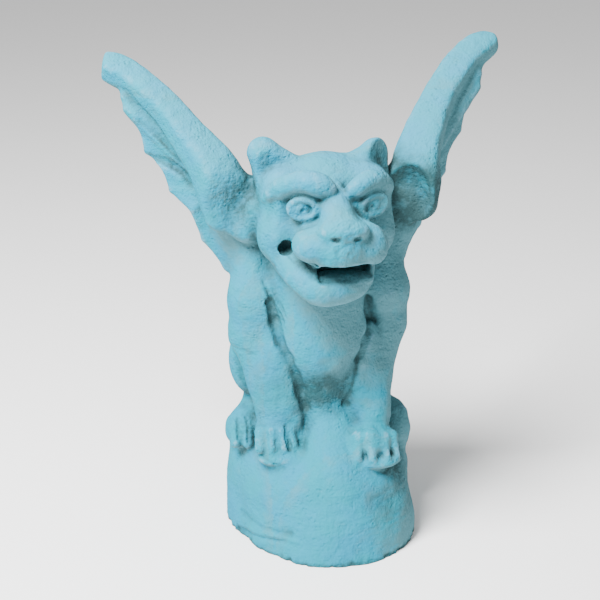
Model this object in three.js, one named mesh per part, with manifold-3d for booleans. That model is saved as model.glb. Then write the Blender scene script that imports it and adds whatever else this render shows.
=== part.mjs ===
// A garden gargoyle: a winged, dog-faced beast crouching on a low round plinth, all cast in one piece.
// Units are millimetres. +Z is up, the beast looks along -Y, and the origin is the middle of the flat
// underside. Places are given for the beast's left side, where x is positive; side is 1 there and -1
// on its right. A fourth number is a radius.

import * as THREE from "three";
import Module from "manifold-3d";

// Driving dimensions

// How softly forms melt into each other, from a step in the stone to a broad swelling
const BLEND = { crisp: 2, close: 3, firm: 5, soft: 8, broad: 12, massive: 18 };

const PLINTH = {
  halfWidth: 78.5,
  halfDepth: 97,
  squareness: 2.2,
  turn: 0.34,
  height: 88,
  rim: 26,
  batter: 0.2,
  swell: 5.5,
  swellAt: 20,
  swellReach: 60,
  fall: 0.03,
  spare: 8,
};

const TRUNK = {
  rump: { at: [-2, 52, 134], radii: [50, 40, 54] },
  ribs: { at: [-2, 22, 185], radii: [50, 44, 66] },
  breast: { at: [-3, -8, 202], radii: [40, 35, 58] },
  core: { at: [-2, 24, 118], radii: [46, 32, 44] },
  loins: { at: [-2, 6, 138], radii: [46, 27, 56] },
  withers: { at: [-1, 20, 240], radii: [57, 32, 34] },
  belly: [[-3, -14, 182, 30], [-1, -10, 136, 24]],
  neck: [[0, 14, 232, 46], [0, -4, 292, 46]],
};

// The ground rises to the belly, and juts out under the forepaws and round the left hind foot.
const GROUND = {
  mound: [[6, -21, 99, 26], [2, -50, 66, 30]],
  ledges: [
    { at: [41, -56, 83.5], radii: [23, 16, 6] },
    { at: [-42, -35, 84], radii: [22, 16, 8] },
    { at: [-38, -3, 98], radii: [20, 24, 18] },
    { at: [-25, -18, 96], radii: [10, 14, 15] },
  ],
  bank: { at: [64, 4, 84], radii: [22, 28, 21] },
};

// The right foreleg stands straighter and thicker, and the left one reaches further forward.
const FORELEG = {
  collar: [59, 10, 278, 13],
  1: {
    bones: [[57, 2, 224, 24], [59, 0, 192, 20], [45, -18, 150, 17], [42, -33, 116, 16]],
    muscles: [{ at: [35, -19, 172], radii: [14, 14, 36] }, { at: [30, -23, 138], radii: [14, 14, 30] }],
    paw: [38.5, -45, 99],
    pawRadii: [18, 22, 14],
    toes: {
      leans: [-17.5, -5.5, 8.5, 18.5],
      radii: [6.4, 7.5, 5.4, 5],
      reach: 25,
      drop: 10,
      bluntness: 0.5,
    },
  },
  "-1": {
    bones: [[57, 4, 224, 24], [60, 5, 188, 20], [46, -5, 150, 21], [43, -11, 118, 18]],
    muscles: [
      { at: [49, -8, 206], radii: [17, 13, 32] },
      { at: [44, -13, 172], radii: [16, 15, 28] },
      { at: [33, -18, 138], radii: [15, 15, 34] },
    ],
    paw: [47, -21, 102],
    pawRadii: [17, 16, 12],
    toes: {
      leans: [-15, -5, 5.5, 15],
      radii: [5.2, 5.6, 5.2, 5.2],
      reach: 20,
      drop: 8,
      bluntness: 0.9,
    },
  },
};

const HINDLEG = {
  middle: -4,
  thigh: [[34, 50, 146, 36], [48, 22, 154, 19], [42, 32, 112, 14]],
  rightThigh: { at: [-57, 22, 158], radii: [22, 20, 36] },
  foot: [68, 10, 94, 18],
  toes: { leans: [-10.5, 0, 10.5], radii: [7, 7, 7], reach: 20, drop: 6, bluntness: 0.75 },
};

// How a toe is shaped, in shares of its lean to the side, of its reach and of its radius. The more a toe
// leans, the further it trails behind.
const TOE = {
  rootSpread: 0.6,
  rootRise: 1.1,
  rootRadius: 0.8,
  kneeSpread: 0.85,
  kneeReach: 0.6,
  kneeRise: 0.85,
  trail: 0.3,
};

const TAIL = [[0, 86, 112, 13], [22, 89, 98, 11], [50, 76, 94, 9], [66, 54, 94, 7]];

// Furrows run down between the breast and the forelegs, and behind the right elbow.
const FURROW = {
  1: [
    [38, -17.5, 221, 4], [42, -20.5, 202, 4.5], [35, -31, 187, 1.6], [29, -32.6, 169, 1.2],
    [25, -35.6, 146, 1.2], [18, -31.6, 128, 1.5],
  ],
  "-1": [
    [50, -19.5, 226, 2.4], [45, -19.5, 208, 3.4], [41, -25, 189, 2.5], [34, -31, 177, 2.2],
    [29, -31.5, 161, 2.5], [24, -30, 143, 3], [19, -28, 126, 2.5],
  ],
  elbow: [[-79, 8, 174, 2], [-75, 6, 162, 3], [-71, 4, 150, 3.5], [-66, 3, 136, 3]],
};

const HEAD = {
  middle: -2,
  skull: { at: [-1, -16, 306], radii: [54, 46, 50] },
  temple: { at: [38, -28, 326], radii: [19, 24, 22] },
  cheek: { at: [39, -32, 291], radii: [21, 24, 25] },
  throat: { at: [-6, -28, 265], radii: [39, 34, 23] },
  jaw: [[-7, -34, 268, 34], [-8, -60, 264, 24]],
  chin: [
    [25, -44, 272, 12], [17, -68, 260, 12], [5, -78, 257, 12.5], [-13, -82, 256, 12.5], [-24, -77, 259, 12],
    [-33, -66, 267, 12], [-40, -44, 276, 12],
  ],
  chinPieces: 12,
  snout: [[-2, -40, 298, 35], [-3, -84, 295, 26]],
  rightLip: { at: [-22, -82, 296], radii: [20, 21, 15.5] },
  leftLip: { at: [18, -82, 292], radii: [21, 21, 18] },
  shoulder: [[11, -56, 322, 9], [19, -82, 302, 12]],
  bridge: [[-2, -54, 331, 11], [-4, -90, 313, 15]],
  nose: { at: [-2, -98, 311], radii: [21, 13, 10] },
  nostril: { at: [9.5, -109, 306.5], radii: [4.2, 4, 2] },
};

// The mouth is a slot that two slanting planes close on the left, with a tongue in it. A crease runs from
// its other end to a deep corner.
const MOUTH = {
  at: [8, -96, 273.5],
  halves: [29, 31, 9],
  round: 3,
  ends: [
    { at: [20, -90, 281], way: [0.24, 0, 0.97] },
    { at: [24, -90, 267], way: [0.74, 0, -0.67] },
  ],
  tongue: { at: [-2, -77, 262], radii: [31, 12.5, 8.5] },
  smile: [[-41, -55, 286, 3], [-40, -68, 285, 2], [-35, -82, 284, 1.6], [-24, -94, 282.5, 1.6]],
  corner: { at: [-41.5, -54, 286], radii: [6, 7.5, 6.2] },
};

const EYE = {
  socket: { at: [29.7, -74, 321], radii: [17, 11, 12] },
  corner: { at: [14.5, -57.5, 323], radii: [8, 12.5, 9] },
  fold: [[40, -53.5, 334, 5.4], [20, -60, 333.5, 6.2]],
  ball: { at: [29.7, -57.5, 321], radii: [11, 8.5, 9.5] },
  pupil: { at: [29.7, -67, 320.5], radii: [2.4, 3.5, 2.4] },
};

// Rings of thick lids lie round the eyes, and fall back towards the temples.
const LID = {
  1: { at: [31, -64.2, 321], width: 12, height: 8.5, turn: 0.25, thickness: 2.2 },
  "-1": { at: [-29.5, -65.2, 321.5], width: 10.5, height: 8.5, turn: 0, thickness: 2 },
  fall: 0.35,
  pieces: 18,
};

// The right brow is a heavy hood, and the left one a slanting ridge that bends down outside.
const BROW = {
  1: [[50, -38, 329, 5], [40, -53, 338, 7], [28, -61, 342, 7.5], [16, -66, 337, 6.5], [8, -68, 331, 4]],
  "-1": [[54, -38, 326, 5], [45, -52, 337, 7], [31, -62, 344, 8], [18, -68, 343, 8.5], [9, -70, 338, 7]],
  pieces: 8,
};

// The right ear is hollow in front, and the left one has a flat face.
const EAR = {
  root: [42, -12, 330, 19],
  1: { tip: [48, -8, 350, 13], slope: [25, -12, 342, 11] },
  "-1": { tip: [52, -10, 357, 12.5], slope: [27, -14, 345, 10] },
  hollow: { at: [-51, -37, 345], radii: [20, 16, 19] },
  face: { at: [44, -16, 350], way: [0.63, -0.74, 0.22] },
};

// Each wing is a bowed arm, squarish in section, that ends below in a scooped hollow, with a thin
// pleated web behind it. The web fans out from the fold to a scalloped edge. The right wing's arm is
// slimmer and hangs lower, its scoop has a softer lip, and a nape fills the gap between it and the neck.
const WING = {
  arm: [
    [172, 83, 421, 11.5], [155, 75, 413, 12], [138, 61, 400, 12.5], [122, 47, 385, 13],
    [108, 31, 367, 14.5], [94, 15, 347, 17.5], [86, 4, 328, 20], [85, -4, 306, 18],
  ],
  pieces: 14,
  edge: [-0.247, -0.617, 0.744],
  flatness: 1.2,
  squareness: 4,
  cuff: [[86, 2, 322, 18], [62, 8, 314, 17], [56, 8, 288, 15]],
  fold: [90, 16, 318],
  web: [
    [118, 44, 372], [162, 78, 410], [161, 65, 397], [159, 61, 387], [146, 57, 369], [143, 56, 350],
    [128, 42, 336], [124, 38, 318], [108, 26, 303], [98, 30, 273], [87, 27, 260], [80, 24, 246],
  ],
  thickness: 4.2,
  root: [[80, 12, 306, 18], [60, 20, 254, 21]],
  slant: 0.04,
  shift: 1.5,
  1: {
    girth: 1,
    bow: 3,
    webBow: 5,
    melt: 7,
    cut: { at: [171, 84, 433.5], way: [0.15, 0.1, 0.98] },
    scoop: { at: [72, -24, 309], radii: [24, 25, 39] },
    lip: BLEND.close,
    nape: [],
  },
  "-1": {
    girth: 0.92,
    bow: -4,
    webBow: 0,
    melt: 2,
    cut: { at: [178, 84, 421], way: [0.97, 0.2, 0.15] },
    scoop: { at: [74, -45, 315], radii: [45, 36, 46] },
    lip: BLEND.broad,
    nape: [[56, -14, 310, 13], [66, -6, 290, 13]],
  },
};

// The clay is measured on a grid of this step, inside this span, in cubes of so many steps, of which
// only those that lie within this many of their own sizes from the surface are measured finely. The block
// that cuts it off below the ground reaches this much deeper than the span.
const STEP = 3.2;
const SPAN = { low: [-206, -134, -16], high: [206, 118, 450] };
const CUBE = 6;
const NEAR = 1.5;
const FOOTING = 20;

// How far a zone clears what is in it, and how near to the end of an edge the surface may cut it
const CLEAR = 20;
const NEAREST_CUT = 0.06;

// What is smaller than this counts as nothing.
const TINY = 1e-9;

// Thinning stops at this many faces. Long edges cost a little, an edge's new place lies within so many of
// its own lengths, and a fold may neither turn a face by much nor leave a sliver.
const FACES = 9300;
const LENGTH_COST = 2e-3;
const LEAST_DETERMINANT = 1e-3;
const FURTHEST = 2;
const LEAST_AGREEMENT = 0.25;
const LEAST_BREADTH = 0.06;
const GONE = 0xffffffff;

// Clay. A form is a function that gives the distance from a point to its surface, negative inside.

const { min, max, abs, sqrt, pow, sin, cos, PI } = Math;
const clamp = (value, low, high) => min(max(value, low), high);
const length = (x, y, z) => sqrt(x * x + y * y + z * z);
const dot = (a, b) => a[0] * b[0] + a[1] * b[1] + a[2] * b[2];
const minus = (a, b) => [a[0] - b[0], a[1] - b[1], a[2] - b[2]];
const cross = (a, b) => [
  a[1] * b[2] - a[2] * b[1],
  a[2] * b[0] - a[0] * b[2],
  a[0] * b[1] - a[1] * b[0],
];
const sided = ([x, ...rest], side) => [x * side, ...rest];
const mirrored = (path, side) => path.map((place) => sided(place, side));

function ellipsoid([cx, cy, cz], [rx, ry, rz]) {
  return (x, y, z) => {
    const px = (x - cx) / rx;
    const py = (y - cy) / ry;
    const pz = (z - cz) / rz;
    const near = length(px, py, pz);
    const slope = length(px / rx, py / ry, pz / rz);
    return slope < TINY ? -min(rx, ry, rz) : (near * (near - 1)) / slope;
  };
}

// A block with round corners and edges
function slab(at, halves, corner) {
  return (...place) => {
    const out = place.map((value, i) => abs(value - at[i]) - halves[i] + corner);
    return length(...out.map((value) => max(value, 0))) + min(max(...out), 0) - corner;
  };
}

// How far along the line from a to b a point lies, from 0 to 1.
function shareAlong([ax, ay, az], [bx, by, bz]) {
  const [dx, dy, dz] = [bx - ax, by - ay, bz - az];
  const span = dx * dx + dy * dy + dz * dz;
  return (x, y, z) => clamp(((x - ax) * dx + (y - ay) * dy + (z - az) * dz) / span, 0, 1);
}

// A limb between two places, each with its own radius.
function taper(a, b) {
  const share = shareAlong(a, b);
  const [dx, dy, dz, dr] = a.map((value, i) => b[i] - value);
  return (x, y, z) => {
    const t = share(x, y, z);
    return length(x - a[0] - t * dx, y - a[1] - t * dy, z - a[2] - t * dz) - a[3] - t * dr;
  };
}

// A limb that is flatter than it is wide, by a factor, along one direction, with a squarish section
function blade(a, b, facing, factor, squareness) {
  const share = shareAlong(a, b);
  const [dx, dy, dz, dr] = a.map((value, i) => b[i] - value);
  return (x, y, z) => {
    const t = share(x, y, z);
    const away = [x - a[0] - t * dx, y - a[1] - t * dy, z - a[2] - t * dz];
    const off = dot(away, facing);
    const wide = sqrt(max(dot(away, away) - off * off, 0));
    const size = pow(pow(wide, squareness) + pow(abs(off) * factor, squareness), 1 / squareness);
    return (size - a[3] - t * dr) / sqrt(factor);
  };
}

// A flat triangle with round edges
function panel(corners, thickness) {
  const [a, b, c] = corners;
  const upright = cross(minus(b, a), minus(c, a));
  const across = upright.map((value) => value / length(...upright));
  const sides = corners.map((start, i) => {
    const run = minus(corners[(i + 1) % 3], start);
    return { start, run, inward: cross(across, run), span: dot(run, run) };
  });
  return (x, y, z) => {
    const place = [x, y, z];
    if (sides.every(({ start, inward }) => dot(minus(place, start), inward) >= 0)) {
      return abs(dot(minus(place, a), across)) - thickness;
    }
    const gaps = sides.map(({ start, run, span }) => {
      const away = minus(place, start);
      const t = clamp(dot(away, run) / span, 0, 1);
      return length(...away.map((value, i) => value - t * run[i]));
    });
    return min(...gaps) - thickness;
  };
}

// Everything past a flat face
const beyond = (at, way) => (x, y, z) => dot(minus(at, [x, y, z]), way);

function smoothMin(a, b, blend) {
  const share = max(blend - abs(a - b), 0) / blend;
  return min(a, b) - (share * share * blend) / 4;
}

function join(blend, first, ...others) {
  return (x, y, z) => others.reduce((sum, form) => smoothMin(sum, form(x, y, z), blend), first(x, y, z));
}

function carve(blend, body, ...tools) {
  return (x, y, z) => tools.reduce((rest, tool) => -smoothMin(-rest, tool(x, y, z), blend), body(x, y, z));
}

const limb = (blend, path) => join(blend, ...path.slice(1).map((place, i) => taper(path[i], place)));

// Places along the smooth curve through a path's places, with their radii
function along(path, pieces) {
  const last = path.length - 1;
  return Array.from({ length: pieces + 1 }, (_, n) => {
    const i = min(Math.floor((n / pieces) * last), last - 1);
    const t = (n / pieces) * last - i;
    return path[i].map((here, axis) => {
      const there = path[i + 1][axis];
      const before = i > 0 ? path[i - 1][axis] : 2 * here - there;
      const after = i + 2 <= last ? path[i + 2][axis] : 2 * there - here;
      const bend = 2 * before - 5 * here + 4 * there - after;
      const twist = 3 * (here - there) + after - before;
      return here + 0.5 * t * (there - before + t * (bend + t * twist));
    });
  });
}

const bowed = (blend, path, pieces) => limb(blend, along(path, pieces));

// A thin limb that runs round an upright oval
function ring({ at: [cx, cy, cz], width, height, turn, thickness }) {
  const path = Array.from({ length: LID.pieces + 1 }, (_, i) => {
    const angle = (2 * PI * i) / LID.pieces;
    const out = width * cos(angle);
    const up = height * sin(angle);
    const x = cx + out * cos(turn) - up * sin(turn);
    const z = cz + out * sin(turn) + up * cos(turn);
    return [x, cy + LID.fall * (abs(x) - abs(cx)), z, thickness];
  });
  return limb(BLEND.crisp, path);
}

const lump = ({ at, radii }) => ellipsoid(at, radii);

// A round block, a little deeper than wide and turned a little, with a worn rim. Its front leans back.
function plinth() {
  const { halfWidth, halfDepth, squareness, turn, height, rim, fall, spare } = PLINTH;
  const { batter, swell, swellAt, swellReach } = PLINTH;
  return (x, y, z) => {
    const across = abs(x + y * turn) / halfWidth;
    const along = abs(y - x * turn) / halfDepth;
    const round = pow(pow(across, squareness) + pow(along, squareness), 1 / squareness);
    const bulge = swell * (1 - pow((z - swellAt) / swellReach, 2));
    const lean = batter * z * clamp(-y / halfDepth, 0, 1);
    const side = (round - 1) * halfWidth - bulge + lean;
    const top = z - height + (fall * (x - y)) / 2;
    const out = max(side + rim, 0);
    const up = max(top + rim, 0);
    const worn = min(max(side, top) + rim, 0) + sqrt(out * out + up * up) - rim;
    return max(worn, -spare - z);
  };
}

function trunk() {
  const { rump, ribs, breast, core, loins, withers, belly, neck } = TRUNK;
  const lumps = [rump, ribs, breast, core, loins, withers].map(lump);
  return join(BLEND.massive, ...lumps, taper(...belly), taper(...neck));
}

// Toes fan forward from a paw, and bend down at the knuckle.
function toes([x, y, z], side, { leans, radii, reach, drop, bluntness }) {
  return leans.map((lean, i) => {
    const radius = radii[i];
    const ahead = y + abs(lean) * TOE.trail;
    const bent = ahead - reach * TOE.kneeReach;
    const root = [x + lean * TOE.rootSpread, ahead, z + radius * TOE.rootRise, radius * TOE.rootRadius];
    const knee = [x + lean * TOE.kneeSpread, bent, z + radius * TOE.kneeRise, radius];
    const end = [x + lean, ahead - reach, z - drop, radius * bluntness];
    return limb(BLEND.crisp, mirrored([root, knee, end], side));
  });
}

function foreleg(side) {
  const { bones, paw, pawRadii, toes: fan } = FORELEG[side];
  const leg = limb(BLEND.soft, mirrored([FORELEG.collar, ...bones], side));
  const pad = ellipsoid(sided(paw, side), pawRadii);
  return join(BLEND.close, join(BLEND.soft, leg, pad), ...toes(paw, side, fan));
}

const forearm = (side) => FORELEG[side].muscles.map(({ at, radii }) => ellipsoid(sided(at, side), radii));

function hindLeg(side) {
  const { middle, thigh, foot, toes: fan } = HINDLEG;
  const bones = thigh.map(([out, ...rest]) => [middle + side * out, ...rest]);
  const leg = limb(BLEND.broad, [...bones, sided(foot, side)]);
  return join(BLEND.close, leg, ...toes(foot, side, fan));
}

function body() {
  const { mound, ledges, bank } = GROUND;
  const risen = join(BLEND.broad, trunk(), taper(...mound));
  const forward = join(BLEND.soft, risen, foreleg(-1), foreleg(1), ...forearm(-1), ...forearm(1));
  const lumps = [HINDLEG.rightThigh, ...ledges, bank].map(lump);
  const whole = join(BLEND.firm, forward, hindLeg(-1), hindLeg(1), ...lumps, limb(BLEND.soft, TAIL));
  const furrows = [mirrored(FURROW[-1], -1), FURROW[1], FURROW.elbow];
  return carve(BLEND.firm, whole, ...furrows.map((path) => limb(BLEND.firm, path)));
}

function ear(side) {
  const [root, tip, slope] = mirrored([EAR.root, EAR[side].tip, EAR[side].slope], side);
  const leaf = join(BLEND.firm, taper(root, tip), taper(slope, tip));
  if (side === 1) return carve(BLEND.crisp, leaf, beyond(EAR.face.at, EAR.face.way));
  return carve(BLEND.firm, leaf, lump(EAR.hollow));
}

function head() {
  const { middle, skull, temple, cheek, throat, jaw, chin, snout, shoulder, bridge, nose } = HEAD;
  const twice = (make) => [make(-1), make(1)];
  const both = ({ at: [x, y, z], radii }, about = middle) =>
    twice((side) => ellipsoid([about + side * x, y, z], radii));

  const mass = join(BLEND.broad, lump(skull), ...both(temple), ...both(cheek), lump(throat), taper(...jaw));
  const lips = join(BLEND.firm, taper(...snout), lump(HEAD.rightLip), lump(HEAD.leftLip));
  const muzzle = join(BLEND.soft, lips, taper(...shoulder));
  const sockets = carve(BLEND.firm, join(BLEND.soft, mass, muzzle), ...both(EYE.socket, 0));
  const blank = join(BLEND.firm, sockets, ...both(EYE.corner, 0));
  const nosed = join(BLEND.firm, taper(...bridge), lump(nose));
  const snouted = join(BLEND.firm, blank, bowed(BLEND.firm, chin, HEAD.chinPieces), nosed);
  const brows = twice((side) => bowed(BLEND.firm, mirrored(BROW[side], side), BROW.pieces));
  const folds = twice((side) => limb(BLEND.firm, mirrored(EYE.fold, side)));
  const seeing = join(BLEND.close, snouted, ...brows, ...folds, ...both(EYE.ball, 0));
  const lidded = join(BLEND.close, seeing, ...twice((side) => ring(LID[side])));

  const ends = MOUTH.ends.map(({ at, way }) => beyond(at, way));
  const mouth = carve(BLEND.crisp, slab(MOUTH.at, MOUTH.halves, MOUTH.round), ...ends);
  const pits = [...both(HEAD.nostril), ...both(EYE.pupil, 0)];
  const openings = [mouth, limb(BLEND.crisp, MOUTH.smile), lump(MOUTH.corner), ...pits];
  const opened = join(BLEND.crisp, carve(BLEND.crisp, lidded, ...openings), lump(MOUTH.tongue));
  return join(BLEND.firm, opened, ear(-1), ear(1));
}

function wing(side) {
  const { arm, pieces, edge, flatness, squareness, cuff, fold, web, thickness, root, slant, shift } = WING;
  const { girth, bow, webBow, melt, cut, scoop, lip, nape } = WING[side];
  const reach = root[0][0];
  const place = ([x, y, z, ...radius]) => [side * x + shift, y, z + side * slant * (x - reach), ...radius];

  const slimmed = (at, i) => {
    const middle = sin((PI * i) / (arm.length - 1));
    const [x, y, z, radius] = place(at);
    return [x - bow * side * middle, y, z, radius * (1 + (girth - 1) * middle)];
  };
  const spots = along(arm.map(slimmed), pieces);
  const section = [sided(edge, side), flatness, squareness];
  const bones = spots.slice(1).map((spot, i) => blade(spots[i], spot, ...section));
  const end = beyond(place(cut.at), sided(cut.way, side));
  const trimmed = carve(BLEND.close, join(BLEND.firm, ...bones), end);
  const bone = join(BLEND.soft, trimmed, limb(BLEND.firm, cuff.map(place)));
  const hollow = carve(lip, bone, ellipsoid(sided(scoop.at, side), scoop.radii));
  const scooped = nape.length ? join(BLEND.soft, hollow, limb(BLEND.firm, mirrored(nape, side))) : hollow;

  const drawnIn = ([x, y, z]) => [x - webBow * sin((PI * (x - reach)) / (arm[0][0] - reach)), y, z];
  const rim = web.map((at) => place(drawnIn(at)));
  const pleats = rim.slice(1).map((spot, i) => panel([place(fold), rim[i], spot], thickness));
  const skin = join(BLEND.soft, join(BLEND.crisp, ...pleats), limb(BLEND.soft, root.map(place)));
  return join(melt, scooped, skin);
}

// A form that is only worked out near its own box, to save time
function zoned(low, high, form) {
  return (x, y, z) => {
    const out = max(low[0] - x, x - high[0], low[1] - y, y - high[1], low[2] - z, z - high[2]);
    return out > 0 ? out + CLEAR : form(x, y, z);
  };
}

function gargoyle() {
  const beast = zoned([-115, -110, 50], [115, 130, 320], body());
  const left = zoned([10, -60, 205], [220, 130, 470], wing(1));
  const right = zoned([-220, -60, 205], [-10, 130, 470], wing(-1));
  const face = zoned([-90, -140, 210], [90, 60, 400], head());
  return join(BLEND.soft, join(BLEND.firm, join(BLEND.soft, beast, left, right), face), plinth());
}

// Skin. Each cell of a grid is split into six tetrahedra about one diagonal, which always gives a
// closed surface.

const CORNERS = [0, 1, 2, 3, 4, 5, 6, 7].map((n) => [n & 1, (n >> 1) & 1, n >> 2]);
const TETRAHEDRA = [[0, 1, 3, 7], [0, 3, 2, 7], [0, 2, 6, 7], [0, 6, 4, 7], [0, 4, 5, 7], [0, 5, 1, 7]];

// The edges that the surface cuts in a tetrahedron, in the order that turns the face away from the clay.
function slice(corners, within) {
  const kept = [0, 1, 2, 3].filter((n) => within(corners[n]));
  const rest = [0, 1, 2, 3].filter((n) => !within(corners[n]));
  if (kept.length === 0 || rest.length === 0) return [];
  const order = kept.length === 3 ? [...rest, ...kept] : [...kept, ...rest];
  const swaps = order.flatMap((n, i) => order.slice(i + 1).filter((m) => m < n)).length;
  if (swaps % 2 === 1) order.push(...order.splice(2).reverse());
  const [a, b, c, d] = order.map((n) => corners[n]);
  if (kept.length === 2) return [[a, c], [a, d], [b, d], [b, c]];
  return kept.length === 1 ? [[a, b], [a, c], [a, d]] : [[a, b], [a, d], [a, c]];
}

function sample(form, low, counts, step) {
  const [nx, ny, nz] = counts;
  const values = new Float32Array(nx * ny * nz);
  const half = (CUBE - 1) / 2;
  const reach = CUBE * step * NEAR;
  for (let k0 = 0; k0 < nz; k0 += CUBE) {
    for (let j0 = 0; j0 < ny; j0 += CUBE) {
      for (let i0 = 0; i0 < nx; i0 += CUBE) {
        const middle = [i0 + half, j0 + half, k0 + half].map((n, axis) => low[axis] + n * step);
        const rough = form(...middle);
        for (let k = k0; k < min(k0 + CUBE, nz); k++) {
          for (let j = j0; j < min(j0 + CUBE, ny); j++) {
            for (let i = i0; i < min(i0 + CUBE, nx); i++) {
              const far = abs(rough) > reach;
              const value = far ? rough : form(low[0] + i * step, low[1] + j * step, low[2] + k * step);
              values[(k * ny + j) * nx + i] = value;
            }
          }
        }
      }
    }
  }
  return values;
}

function skin(form, low, high, step) {
  const counts = low.map((value, axis) => Math.ceil((high[axis] - value) / step) + 1);
  const [nx, ny, nz] = counts;
  const values = sample(form, low, counts, step);
  const places = [];
  const faces = [];
  const known = new Map();

  function crossing(a, b) {
    const key = a < b ? a * values.length + b : b * values.length + a;
    if (!known.has(key)) {
      const share = clamp(values[a] / (values[a] - values[b]), NEAREST_CUT, 1 - NEAREST_CUT);
      const cell = (n) => [n % nx, Math.floor(n / nx) % ny, Math.floor(n / (nx * ny))];
      const [p, q] = [cell(a), cell(b)];
      known.set(key, places.length / 3);
      p.forEach((n, axis) => places.push(low[axis] + (n + share * (q[axis] - n)) * step));
    }
    return known.get(key);
  }

  for (let k = 0; k < nz - 1; k++) {
    for (let j = 0; j < ny - 1; j++) {
      for (let i = 0; i < nx - 1; i++) {
        const ids = CORNERS.map(([di, dj, dk]) => ((k + dk) * ny + j + dj) * nx + i + di);
        const inside = ids.filter((id) => values[id] < 0).length;
        if (inside === 0 || inside === 8) continue;
        for (const tetrahedron of TETRAHEDRA) {
          const all = tetrahedron.map((n) => ids[n]);
          const ring = slice(all, (id) => values[id] < 0).map(([a, b]) => crossing(a, b));
          for (let n = 2; n < ring.length; n++) faces.push([ring[0], ring[n - 1], ring[n]]);
        }
      }
    }
  }

  return { places, faces };
}

// Thinning. Edges are folded away in the order of how little that moves the surface.

function thin({ places, faces }, target) {
  const count = places.length / 3;
  const at = (v) => places.slice(v * 3, v * 3 + 3);
  const rings = Array.from({ length: count }, () => new Set());
  const quadrics = Array.from({ length: count }, () => new Float64Array(10));
  const alive = new Array(faces.length).fill(true);
  const version = new Uint32Array(count);

  const normalOf = (p, q, r) => cross(minus(q, p), minus(r, p));

  faces.forEach((face, f) => {
    const [p, q, r] = face.map(at);
    const n = normalOf(p, q, r);
    const size = max(length(...n), TINY);
    const [a, b, c] = n.map((value) => value / size);
    const d = -dot([a, b, c], p);
    const terms = [a * a, a * b, a * c, a * d, b * b, b * c, b * d, c * c, c * d, d * d];
    for (const v of face) {
      rings[v].add(f);
      terms.forEach((term, i) => (quadrics[v][i] += term * size * 0.5));
    }
  });

  const errorAt = (q, [x, y, z]) =>
    q[0] * x * x + 2 * q[1] * x * y + 2 * q[2] * x * z + 2 * q[3] * x + q[4] * y * y +
    2 * q[5] * y * z + 2 * q[6] * y + q[7] * z * z + 2 * q[8] * z + q[9];

  // The place where the two ends' planes meet best, or the best of the ends and the middle.
  function settle(a, b) {
    const q = quadrics[a].map((value, i) => value + quadrics[b][i]);
    const [p, r] = [at(a), at(b)];
    const span = length(...minus(p, r));
    const middle = p.map((value, i) => (value + r[i]) / 2);
    const choices = [p, r, middle];
    const m = new THREE.Matrix3().set(q[0], q[1], q[2], q[1], q[4], q[5], q[2], q[5], q[7]);
    if (abs(m.determinant()) > LEAST_DETERMINANT) {
      const best = new THREE.Vector3(-q[3], -q[6], -q[8]).applyMatrix3(m.invert()).toArray();
      const away = length(...minus(best, middle));
      if (away < FURTHEST * span) choices.unshift(best);
    }
    const costs = choices.map((place) => errorAt(q, place));
    const pick = costs.indexOf(min(...costs));
    return { place: choices[pick], cost: costs[pick] + span * span * LENGTH_COST };
  }

  const heap = [];
  const swap = (i, j) => ([heap[i], heap[j]] = [heap[j], heap[i]]);
  function push(item) {
    heap.push(item);
    for (let i = heap.length - 1; i > 0; ) {
      const parent = (i - 1) >> 1;
      if (heap[parent].cost <= heap[i].cost) break;
      swap(i, parent);
      i = parent;
    }
  }
  function pop() {
    const top = heap[0];
    const last = heap.pop();
    if (heap.length === 0) return top;
    heap[0] = last;
    for (let i = 0; ; ) {
      let least = i;
      for (const child of [2 * i + 1, 2 * i + 2]) {
        if (child < heap.length && heap[child].cost < heap[least].cost) least = child;
      }
      if (least === i) return top;
      swap(i, least);
      i = least;
    }
  }

  const neighbours = (v) => {
    const near = new Set();
    for (const f of rings[v]) for (const w of faces[f]) if (w !== v) near.add(w);
    return near;
  };
  const offer = (a, b) => push({ a, b, ...settle(a, b), stamp: version[a] + version[b] });
  for (let v = 0; v < count; v++) for (const w of neighbours(v)) if (v < w) offer(v, w);

  // A face must not turn over, nor become a sliver, when its corner moves.
  function sound(v, other, place) {
    for (const f of rings[v]) {
      if (faces[f].includes(other)) continue;
      const old = faces[f].map(at);
      const moved = faces[f].map((w, i) => (w === v ? place : old[i]));
      const [n, m] = [normalOf(...old), normalOf(...moved)];
      if (dot(n, m) < LEAST_AGREEMENT * length(...n) * length(...m)) return false;
      const sides = moved.map((p, i) => length(...minus(p, moved[(i + 1) % 3])));
      if (length(...m) < LEAST_BREADTH * max(...sides) ** 2) return false;
    }
    return true;
  }

  let left = faces.length;
  while (left > target && heap.length > 0) {
    const { a, b, place, stamp } = pop();
    if (version[a] === GONE || version[b] === GONE || stamp !== version[a] + version[b]) continue;
    const near = neighbours(a);
    if (!near.has(b)) continue;
    const shared = [...neighbours(b)].filter((w) => near.has(w));
    if (shared.length !== 2 || !sound(a, b, place) || !sound(b, a, place)) continue;
    for (const f of [...rings[b]]) {
      if (faces[f].includes(a)) {
        alive[f] = false;
        left -= 1;
        for (const w of faces[f]) rings[w].delete(f);
      } else {
        faces[f] = faces[f].map((w) => (w === b ? a : w));
        rings[a].add(f);
      }
    }
    place.forEach((value, i) => (places[a * 3 + i] = value));
    quadrics[a] = quadrics[a].map((value, i) => value + quadrics[b][i]);
    version[a] += 1;
    version[b] = GONE;
    for (const w of neighbours(a)) offer(a, w);
  }

  const kept = faces.filter((_, f) => alive[f]);
  const order = new Map();
  for (const v of kept.flat()) if (!order.has(v)) order.set(v, order.size);
  return {
    places: [...order.keys()].flatMap(at),
    faces: kept.map((face) => face.map((v) => order.get(v))),
  };
}

// The statue is cut flat where it stands.

const wasm = await Module();
wasm.setup();

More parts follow.
